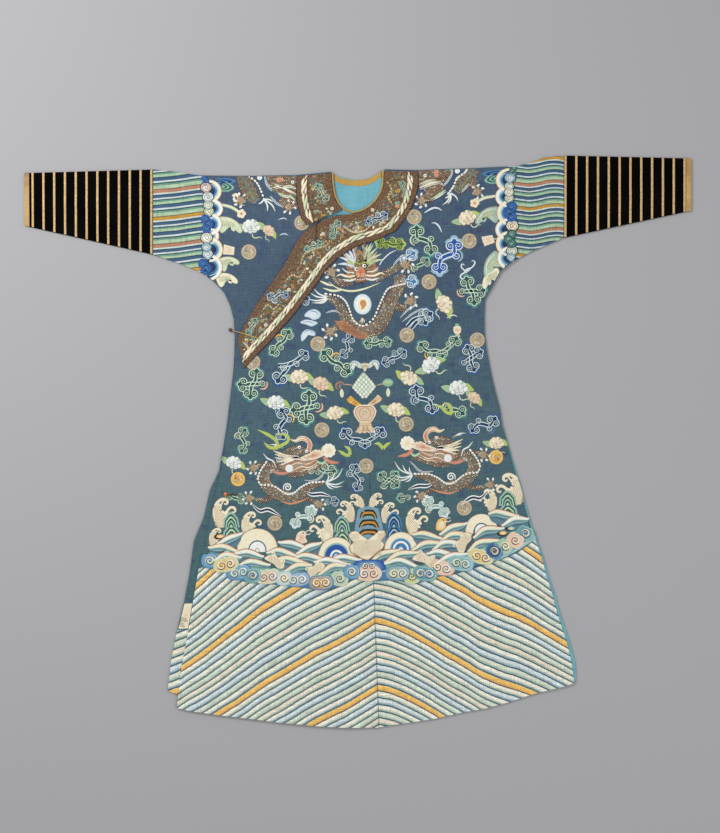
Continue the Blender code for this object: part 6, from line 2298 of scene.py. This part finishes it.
def running_dragon(pen):
    """A dragon in profile that chases the pearl, heading to the right."""
    strands(pen, (87, 12), ((94, -9), (111, -15), (131, -24), (133, 10), (128, 22), (106, 29)), 4.0,
            "white", "slate", -0.14)
    for leg, foot, turn in (
        (((-44, -31), (-66, -40), (-84, -34)), (-92, -32), 180), (((-42, 42), (-72, 50), (-96, 46)),
         (-106, 43), 180), (((28, 46), (46, 54), (60, 60)), (68, 66), 60)):
        limb(pen, leg, foot, turn, 13.0, (1.0, 0.7), 0.9)
    scaled(pen, ((-10, -24), (-31, -31), (-52, -29), (-65, -14), (-66, 3), (-56, 20), (-33, 36),
                 (-7, 45), (14, 43), (31, 33), (49, 21), (78, 13)), 31.0, (0.8, 0.35))
    spine(pen, ((-60, -44), (-74, -25), (-82, -4), (-74, 11), (-56, 12), (-39, 18), (-27, 27),
                (-15, 35), (-3, 37), (9, 33), (20, 24), (32, 17), (46, 11), (63, 10), (80, 9)))
    pen.ribbon([(-28, 54), (-4, 61), (22, 56), (42, 48)], 4.6, plain("salmon", "yellow"), 0.7, (0.3, 0.3))
    pen.ribbon([(-44, -20), (-24, -15), (-6, -17)], 9.0, plain("salmon", "rust"), 0.72, (0.4, 0.8))
    strands(pen, (22, -54), ((-42, -73), (-38, -64), (-38, -55), (-34, -46), (-28, -36), (-20, -30)), 7.0,
            "cream", "tan", 0.05)
    pen.ribbon([(-66, -66), (-56, -54), (-42, -46), (-36, -30)], 3.6, "white", 0.5, (0.3, 0.8))
    scaled(pen, ((-6, -12), (20, -14), (50, -24), (84, -32)), 20.0, (0.7, 0.5))
    mouth = ((-24, -34), (10, -48), (50, -56), (70, -44), (54, -26), (16, -16), (-12, -16))
    pen.fill(mouth, "rust", 0.62, "scale")
    scaled(pen, ((-22, -56), (-2, -66), (22, -73), (42, -64)), 25.0, (0.6, 0.7))
    face = ((24, -52), (44, -61), (64, -72), (84, -68), (88, -58), (72, -50), (52, -44), (32, -42))
    pen.fill(face, "cream", 0.66, "salmon", rim="umber")
    for k in range(16):
        fleck(pen, 32 + 3.4 * k, -47 - 1.2 * k - 5.0 * (k % 3), 2.6, 1.8, -20 + 30 * (k % 2),
              ("salmon", "ochre", "leaf", "rust")[k % 4], 0.8)
    for path, tint in ((((-18, -38), (12, -50), (36, -46), (60, -54)), "white"),
                       (((-8, -28), (16, -40), (40, -36), (66, -46)), "cream"),
                       (((4, -20), (26, -30), (48, -28), (70, -40)), "cream"),
                       (((22, -44), (40, -34), (60, -40)), "salmon"),
                       (((30, -22), (50, -24), (72, -34)), "blush")):
        pen.ribbon(path, 3.6, tint, 0.85, (0.5, 0.3))
    pen.ribbon([(3, -99), (16, -95), (29, -101), (43, -97), (51, -85), (46, -68)], 12.0,
               plain("salmon", "cream"), 0.7, (0.2, 1.0))
    pen.ribbon([(3, -99), (16, -95), (29, -101), (41, -98), (47, -91)], 7.0, "cream", 0.8, (0.3, 0.2))
    pen.dot(-3, -27, 10.5, "white", 0.95, "pale_ice", sides=14)
    for x, y in ((24, -79), (42, -68)):
        eye(pen, (x, y), (0.8, 0.6), (4.6, 2.2), (0.9, 0.96))
    pen.ribbon([(66, -42), (80, -36), (90, -44)], 7.0, plain("leaf_pale", "sea_green"), 0.72, (0.6, 0.4))
    pen.ribbon([(84, -52), (98, -40), (122, -36)], 9.0, plain("salmon", "coral"), 0.6, (1.0, 0.2))
    pen.ribbon([(34, 4), (58, 6), (74, -2), (82, -12), (92, -22)], 4.6, lined("white", "navy", 0.3), 0.5,
               (0.3, 0.5))
    wreath(pen, 97, -68, 12.5, 10, 6.0, "white", 0.5, "cream", "tan")
    pen.dot(97, -68, 12.0, "cream", 0.62, "blush", sides=12)
    for path in (((-98, 60), (-80, 76), (-58, 74), (-28, 92)), ((32, 30), (50, 40), (76, 40), (100, 48))):
        pen.ribbon(path, 11.0, lined("white", "navy", 0.26), 0.4, (0.3, 0.2))
    pen.spiral(-9, 20, 11.0, 1.6, 150, 1, 3.4, "white", 0.5, (0.6, 0.8))
    strands(pen, (-16, -78), ((-50, -88), (-40, -84)), 4.0, "white", "slate", -0.1)


def facing_dragon(art):
    """The coiled dragon on the chest, seen from the front above its pearl."""
    pen = Pen(art, 0, 0)
    strands(pen, (-85, 305), ((-122, 283), (-132, 293), (-138, 308), (-128, 318), (-111, 321)), 4.4,
            "white", "slate", 0.12)
    for leg, foot, turn in (
        (((72, 325), (94, 339), (106, 334)), (118, 322), -20),
        (((-45, 366), (-65, 380), (-76, 385)), (-86, 392), 140),
        (((-26, 267), (-56, 271), (-71, 255)), (-77, 242), -120),
        (((34, 264), (65, 248), (100, 231)), (110, 232), 10)):
        limb(pen, leg, foot, turn, 20.0, (1.0, 0.8), 1.05)
    scaled(pen, ((89, 258), (94, 279), (80, 303), (64, 328), (53, 357), (32, 386),
                 (-1, 395), (-30, 379), (-49, 351), (-63, 323), (-85, 307)), 37.0,
           (0.8, 0.4))
    scaled_patch(pen.at(0, 0, lift=0.25), [
        (-75, 364), (-47, 368), (-21, 387), (4, 398), (11, 411), (-12, 414),
        (-36, 401), (-58, 388)], ("salmon", "ochre", "coral", "tan", "salmon"), "rust")
    spine(pen, ((104, 279), (83, 283), (63, 290), (50, 310), (36, 339), (23, 364),
                (-3, 380), (-25, 367), (-36, 336), (-45, 316), (-62, 303), (-92, 297)))
    pearl(Pen(art, -2, 326, 0.98, lift=0.2))
    strands(pen, (-5, 360), ((-12, 370), (-8, 375), (0, 373)), 3.0, "blush")
    head = Pen(art, -4, 240, 1.0, lift=0.5)
    strands(head, (-14, -6), ((-42, -48), (-52, -34), (-34, -58), (-20, -60), (-56, -16)), 8.5, "pale_ice",
            "navy", -0.1)
    strands(head, (14, -6), ((44, -54), (54, -38), (34, -62), (20, -62), (58, -24), (30, -66)), 8.5,
            "pale_green", "moss", 0.1)
    for hand in (-1, 1):
        for path, width, tints, lift, start in (
            (((16, -18), (30, -30), (44, -44)), 4.0, ("blush", "rust"), 0.6, 1),
            (((14, 14), (32, 16), (50, 10), (60, 14)), 6.6, ("cream", "tan"), 0.62, 0.8),
            (((12, 22), (28, 26), (46, 22)), 5.4, ("white", "sea_green"), 0.62, 0.8),
            (((16, 6), (34, 4), (46, -6)), 4.4, ("white", "navy"), 0.62, 0.8)):
            head.ribbon(np.array(path) * (hand, 1), width, plain(*tints), lift, (start, 0.3))
    head.ribbon([(48, -10), (56, -22), (74, -38), (92, -46)], 3.2, "pale_ice", 0.6, (0.7, 0.3))
    scaled_patch(Pen(art, -4, 240, lift=0.36), [
        (-36, -20), (-27, -30), (-24, -42), (-10, -44), (-4, -52), (8, -44), (24, -46), (30, -34),
        (42, -28), (38, -12), (46, 2), (34, 12), (28, 24), (8, 30), (-8, 33), (-20, 24), (-38, 18),
        (-33, 0)], ("tan", "salmon", "olive", "scale_pink", "coral", "umber", "leaf", "tan"), "rust")
    head.fill([(-24, -10), (-24, -26), (-14, -38), (-5, -33), (0, -42), (8, -34), (20, -37), (26, -24),
               (24, -8), (19, 6), (15, 24), (0, 34), (-15, 24), (-19, 6)], "scale_dark", 0.5, "olive",
              rim="brown")
    draw = np.random.default_rng(3)
    for _ in range(90):
        angle, reach = draw.uniform(0, 2 * math.pi), math.sqrt(draw.uniform(0, 1))
        x, y = 22 * reach * math.cos(angle), -7 + 34 * reach * math.sin(angle)
        tint = ("tan", "cream", "salmon", "leaf", "ochre", "scale_pink")[draw.integers(6)]
        fleck(head, x, y, 2.4, 1.5, draw.uniform(0, 180), tint, 0.62)
    for side in (-1, 1):
        horn = np.array(((side * 8, -34), (side * 13, -48), (side * 8, -60), (side * 16, -66)))
        head.ribbon(horn, 8.0, plain("scale", "umber"), 0.7, (1, 0.4))
        head.ribbon(np.array(((side * 20, -16), (side * 28, -24), (side * 32, -14))), 8.0,
                    plain("leaf", "moss"), 0.66, (1, 0.3))
        eye(head, (side * 10, -6 - 4 * side), (1, 0), (5.4, 2.7), (0.8, 0.95), 12)
        head.ribbon(np.array(((side * 3, -15), (side * 11, -19), (side * 19, -14))), 4.2,
                    plain("lime", "moss"), 0.9, (0.6, 0.4))
    head.fill([(-5, -8), (5, -8), (11, 2), (13, 12), (8, 19), (-8, 19), (-12, 12), (-10, 2)], "salmon", 0.8,
              "coral", rim="umber")
    for side in (-1, 1):
        head.spiral(side * 7, 12, 4.6, 1.0, 90, side, 2.6, "blush", 0.95)
    head.ribbon([(-12, 22), (0, 27), (12, 22)], 4.2, plain("coral", "dark"), 0.8, (0.5, 0.5))
    for k in range(5):
        fleck(head, -8 + 4 * k, 24.5, 1.6, 2.4, 0, "white", 1.0)
    beard = [(-84, 267), (-64, 283), (-32, 292), (3, 288), (44, 274)]
    pen.ribbon(beard, 5.0, plain("cream", "leaf"), 1.0, (0.3, 0.2))
    for path in (((-106, 264), (-86, 274), (-74, 277)), ((-99, 282), (-75, 290), (-47, 288))):
        pen.ribbon(path, 6.0, plain("cream", "leaf"), 0.9, (0.3, 0.5))


SHOULDER_DRAGONS = {
    "left": {
        "body": ((-291, -7), (-281, 20), (-268, 45), (-257, 59)),
        "spine": ((-274, -4), (-259, 8), (-250, 21), (-244, 36), (-238, 55)),
        "tail": ((-238, 55), ((-253, 66), (-231, 86), (-211, 87), (-216, 62))),
        "claws": (((-297, 55), 200), ((-177, 76), 20)),
        "legs": (((-279, 42), (-290, 51)), ((-196, 60), (-184, 71))),
        "head": ((-229, -2), (-199, -4), (-154, -1), (-152, 17), (-157, 54),
                 (-156, 82), (-187, 81), (-205, 66), (-196, 48), (-215, 34),
                 (-227, 14)),
        "mask": ((-197, 8), 0),
        "locks": (((-215, 27), (-196, 24), (-180, 33), (-158, 44)),
                  ((-212, 17), (-190, 25), (-172, 24), (-157, 30)),
                  ((-203, 40), (-186, 48), (-171, 50), (-161, 59))),
        "lines": (((-234, -2), (-230, 17), (-218, 35)),
                  ((-222, 48), (-207, 66), (-191, 76))),
        "stick": ((-279, 35), (-257, 54)),
        "blob": (-247, 0),
        "eye": (-165, 15),
    },
    "right": {
        "body": ((287, -1), (276, 17), (260, 34), (243, 53)),
        "spine": ((271, -1), (265, 7), (251, 16), (243, 24), (236, 40),
                  (223, 57)),
        "tail": ((229, 57), ((207, 86), (220, 84), (246, 77), (213, 69))),
        "claws": (((295, 56), -20), ((155, 73), 160)),
        "legs": (((291, 27), (284, 43), (290, 52)), ((179, 54), (167, 64))),
        "head": ((150, -4), (194, -4), (235, -2), (231, 12), (211, 31),
                 (215, 47), (207, 58), (187, 70), (181, 79), (156, 78),
                 (154, 63), (167, 51), (150, 38)),
        "mask": ((194, 6), 90),
        "locks": (((151, 41), (179, 31), (205, 27)),
                  ((151, 32), (173, 24), (193, 22)),
                  ((181, 69), (200, 59), (216, 48))),
        "lines": (((234, -2), (232, 11), (214, 35), (205, 30)),
                  ((257, 55), (268, 42), (276, 35))),
        "stick": ((273, 20), (255, 47)),
        "blob": (247, 2),
        "eye": (166, 11),
    },
}


def inside_shape(shape, x, y):
    """Whether a point lies inside a closed shape."""
    odd = False
    for (x1, y1), (x2, y2) in zip(shape, (*shape[1:], shape[0])):
        if (y1 > y) != (y2 > y) and x < x1 + (y - y1) * (x2 - x1) / (y2 - y1):
            odd = not odd
    return odd


PATCH_TINTS = ("tan", "olive", "scale_pink", "cream", "old_gold", "salmon", "sea_mist", "scale")


def scaled_patch(pen, shape, tints=PATCH_TINTS, base="scale_dark"):
    """A filled shape covered by small coloured scales."""
    pen.fill(shape, base, 0.5, "umber", soft=False)
    low, high = np.min(shape, axis=0), np.max(shape, axis=0)
    rows = int((high[1] - low[1]) / (SCALE_PITCH * 0.8))
    columns = int((high[0] - low[0]) / SCALE_PITCH)
    for row in range(1, rows):
        for column in range(columns + 1):
            spot = (low[0] + (column + 0.5 * (row % 2)) * SCALE_PITCH, low[1] + row * SCALE_PITCH * 0.8)
            if inside_shape(shape, *spot):
                tint = tints[(row * 5 + column * 7 + row * column % 3) % len(tints)]
                fleck(pen, *spot, 2.2, 1.6, 30 * (row % 3), tint, 0.64)


def shoulder_dragon(art, side):
    """The part of the shoulder dragon that shows on the front of one sleeve."""
    pen = Pen(art, 0, 0)
    parts = SHOULDER_DRAGONS[side]
    for leg, (foot, turn) in zip(parts["legs"], parts["claws"]):
        limb(pen, leg, foot, turn, 14.0, (1.0, 0.7), 0.95)
    strands(pen, *parts["tail"], 4.6, "white", "slate", 0.12)
    scaled(pen, parts["body"], 38.0, (0.85, 0.6), tints=("tan", "olive", "scale", "sea_mist", "scale_pink"))
    pen.ribbon(parts["stick"], 6.0, plain("olive", "leaf"), 0.72, (0.6, 0.5))
    spine(pen, parts["spine"])
    scaled_patch(pen, parts["head"])
    for path in parts["lines"]:
        pen.ribbon(path, 5.0, lined("white", "mid_blue", 0.3), 0.8, (0.6, 0.5))
    for k, path in enumerate(parts["locks"]):
        pen.ribbon(path, 6.6, plain(("cream", "pale_green", "leaf_pale")[k], "tan"), 0.8, (0.4, 0.3))
        offset = np.array(path, float) + (1.5, 4.0)
        pen.ribbon(offset, 2.6, "white", 0.84, (0.4, 0.3))
    mask, turn = parts["mask"]
    face = pen.at(*mask, 1.0, turn)
    face.fill([(-9, -4), (-2, -7), (8, -5), (10, 2), (2, 6), (-7, 5)], "salmon", 0.75, "coral", rim="umber")
    for k in range(4):
        face.ribbon([(-7 + 4.5 * k, -5), (-6 + 4.5 * k, 4)], 1.1, "cream", 0.86, soft=False)
    pen.dot(*parts["blob"], 6.5, "white", 0.5, "pale_ice", sides=14)
    eye(pen, parts["eye"], (0, 0), (4.6, 2.0), (0.85, 0.95))


def streamers(art):
    """Streamers of mist round the chest dragon."""
    pen = Pen(art, 0, 0)
    for shape in (
        ((-149, 350), (-139, 338), (-121, 334), (-107, 344), (-110, 356), (-125, 361),
         (-137, 355)),
        ((-160, 366), (-145, 359), (-125, 363), (-115, 369), (-130, 377), (-145, 372)),
        ((-157, 414), (-159, 399), (-151, 387), (-138, 383), (-123, 391), (-124, 401),
         (-139, 398), (-146, 405))):
        pen.fill(shape, "pale_blue", 0.5, "pale_ice", rim="mid_blue")
    for path in (((-134, 338), (-119, 341), (-114, 349)), ((-152, 366), (-137, 365), (-125, 369)),
                 ((-151, 392), (-138, 385), (-128, 393))):
        pen.ribbon(path, 2.2, "halo_blue", 0.7, (0.4, 0.4))
    for path in (
        ((90, 364), (111, 344), (126, 335), (132, 320)),
        ((95, 374), (121, 355), (141, 345), (161, 341)),
        ((75, 240), (86, 223), (104, 209), (119, 205)),
        ((-94, 344), (-74, 340), (-57, 346))):
        Pen(art, 0, 0, lift=0.1).ribbon(path, 4.6, lined("pale_ice", "navy", 0.34), 0.4, (0.3, 0.3))


# Strands of the lime flames that leap round the dragons.
FIRES = (
    ((-226, 677), (-230, 659), (-248, 644), (-276, 629)),
    ((-226, 675), (-203, 663), (-200, 651), (-211, 643), (-230, 644)),
    ((-226, 677), (-246, 675), (-261, 661)),
    ((-47, 701), (-57, 701), (-69, 693), (-77, 688)), ((-47, 701), (-49, 686), (-61, 678)),
    ((36, 689), (44, 680), (56, 673)), ((36, 689), (26, 676), (14, 676)),
    ((211, 608), (197, 603), (185, 590), (167, 584)), ((211, 608), (207, 588), (193, 578)),
)


def dragons(surface):
    art = Art(surface)
    streamers(art)
    facing_dragon(art)
    for side in ("left", "right"):
        shoulder_dragon(art, side)
    art.piece("woven_dragons_upper")
    art = Art(surface)
    running_dragon(Pen(art, -197, 756, 1.0, 0.0, lift=0.1))
    running_dragon(Pen(art, 194, 745, 1.0, 0.0, True, 0.1))
    for path in FIRES:
        Pen(art, 0, 0, lift=0.3).ribbon(path, 8.0, plain("lime", "leaf"), 0.4, (1.0, 0.12))
    art.piece("woven_dragons_lower")


# ---------------------------------------------------------------- putting the robe together


# Length added to a sheet's sides for its rounding, and the row distance of the body's cuts.
SHEET_SPARE, SHEET_ROW_STEP, TUBE_CUT_RINGS = 0.001, 18.0, 9


def tube_cut(side, first, last, extra=0.0):
    """A sleeve's cut: all round it one way, along it the other."""
    places = np.linspace(first, last, TUBE_CUT_RINGS)
    rings = sleeve_rings(side, places / sleeve_length(side), False, extra)
    rings = np.concatenate((rings, rings[:, :1]), axis=1)
    steps = np.linalg.norm(np.diff(rings, axis=1), axis=-1)
    around = np.concatenate((np.zeros((len(rings), 1)), np.cumsum(steps, axis=1)), axis=1)
    return np.stack(np.broadcast_arrays(around, places[:, None]), axis=-1)


def declare_sheets():
    """Works out the rows of each body sheet and the cuts of each sleeve, cuff and the overlap, and keeps none
    of them.
    """
    for side in ("left", "right"):
        back = body_rows(side, "back", SHEET_ROW_STEP)[::-1] * (1.0, -1.0)
        front = body_rows(side, "front", SHEET_ROW_STEP)
        length = sleeve_length(side)
        cloth_end = length - CUFF_BAND_WIDTH
        tube_cut(side, CLEAR, cloth_end)
        tube_cut(side, cloth_end, length, CUFF_BAND_EXTRA)
    overlap_rows()


def build_robe():
    pieces = {}
    for side in ("left", "right"):
        pieces[f"length_{side}"] = body_length(side)
        pieces[f"sleeve_{side}"], pieces[f"cuff_{side}"] = sleeve(side)
        braid(side)
    pieces["overlap"] = overlap()
    pieces["band_over"] = neckband("band_overlap", OVERLAP_BAND, band_under, "neckband_overlap")
    pieces["band_under"] = neckband(
        "band_underlap", UNDERLAP_BAND, underlap_band_under, "neckband_underlap")
    neck_piping()
    pieces["back_band"] = back_neck_band()
    pieces["neck_lining"] = neck_lining()
    pieces["slit_lining"] = slit_lining()
    fastenings()
    scatter(front_top)
    blossoms(front_top)
    waters(front_top)
    foam_border(front_top)
    neck_figures()
    for side in ("left", "right"):
        sleeve_root(side, front_top)
    dragons(front_top)
    declare_sheets()


FLOOR_REACH, FLOOR_HEIGHT, FLOOR_TINT = 3.0, -0.0002, (0.36, 0.36, 0.37, 1.0)
WORLD_LIGHT = 0.62
# Soft lamps: name, place, size and power.
LAMPS = (("key", (-1.9, 1.7, 2.2), 1.2, 62.0), ("fill", (1.8, -0.6, 2.8), 2.0, 22.0))
CAMERA_PLACE, CAMERA_TURN = (-0.0152, 0.0698, 4.917), -2.12
LENS, SENSOR = 85.0, 36.0


def floor():
    mesh = bpy.data.meshes.new("floor")
    corners = ((-1, -1), (1, -1), (1, 1), (-1, 1))
    mesh.from_pydata(
        [(FLOOR_REACH * x, FLOOR_REACH * y, FLOOR_HEIGHT) for x, y in corners], [], [(0, 1, 2, 3)])
    thing = new_object("floor", mesh)
    material, _, shader = new_material("pale_floor", 0.9)
    shader.inputs["Base Color"].default_value = FLOOR_TINT
    mesh.materials.append(material)


def lights():
    world = bpy.data.worlds.new("studio")
    bpy.context.scene.world = world
    world.use_nodes = True
    world.node_tree.nodes["Background"].inputs["Color"].default_value = (1.0, 1.0, 1.0, 1.0)
    world.node_tree.nodes["Background"].inputs["Strength"].default_value = WORLD_LIGHT
    for name, spot, size, power in LAMPS:
        light = bpy.data.lights.new(name, "AREA")
        light.size = size
        light.energy = power
        lamp = new_object(name, light)
        lamp.location = spot
        aim = -np.array(spot)
        lamp.rotation_euler = (
            math.atan2(math.hypot(aim[0], aim[1]), -aim[2]), 0.0, math.atan2(aim[0], -aim[1]) + math.pi)


def camera():
    lens = bpy.data.cameras.new("overhead")
    lens.lens = LENS
    lens.sensor_width = SENSOR
    thing = new_object("overhead", lens)
    thing.location = CAMERA_PLACE
    thing.rotation_euler = (0.0, 0.0, math.radians(CAMERA_TURN))
    bpy.context.scene.camera = thing


build_robe()
floor()
lights()
camera()
bpy.context.scene.view_settings.view_transform = "Standard"
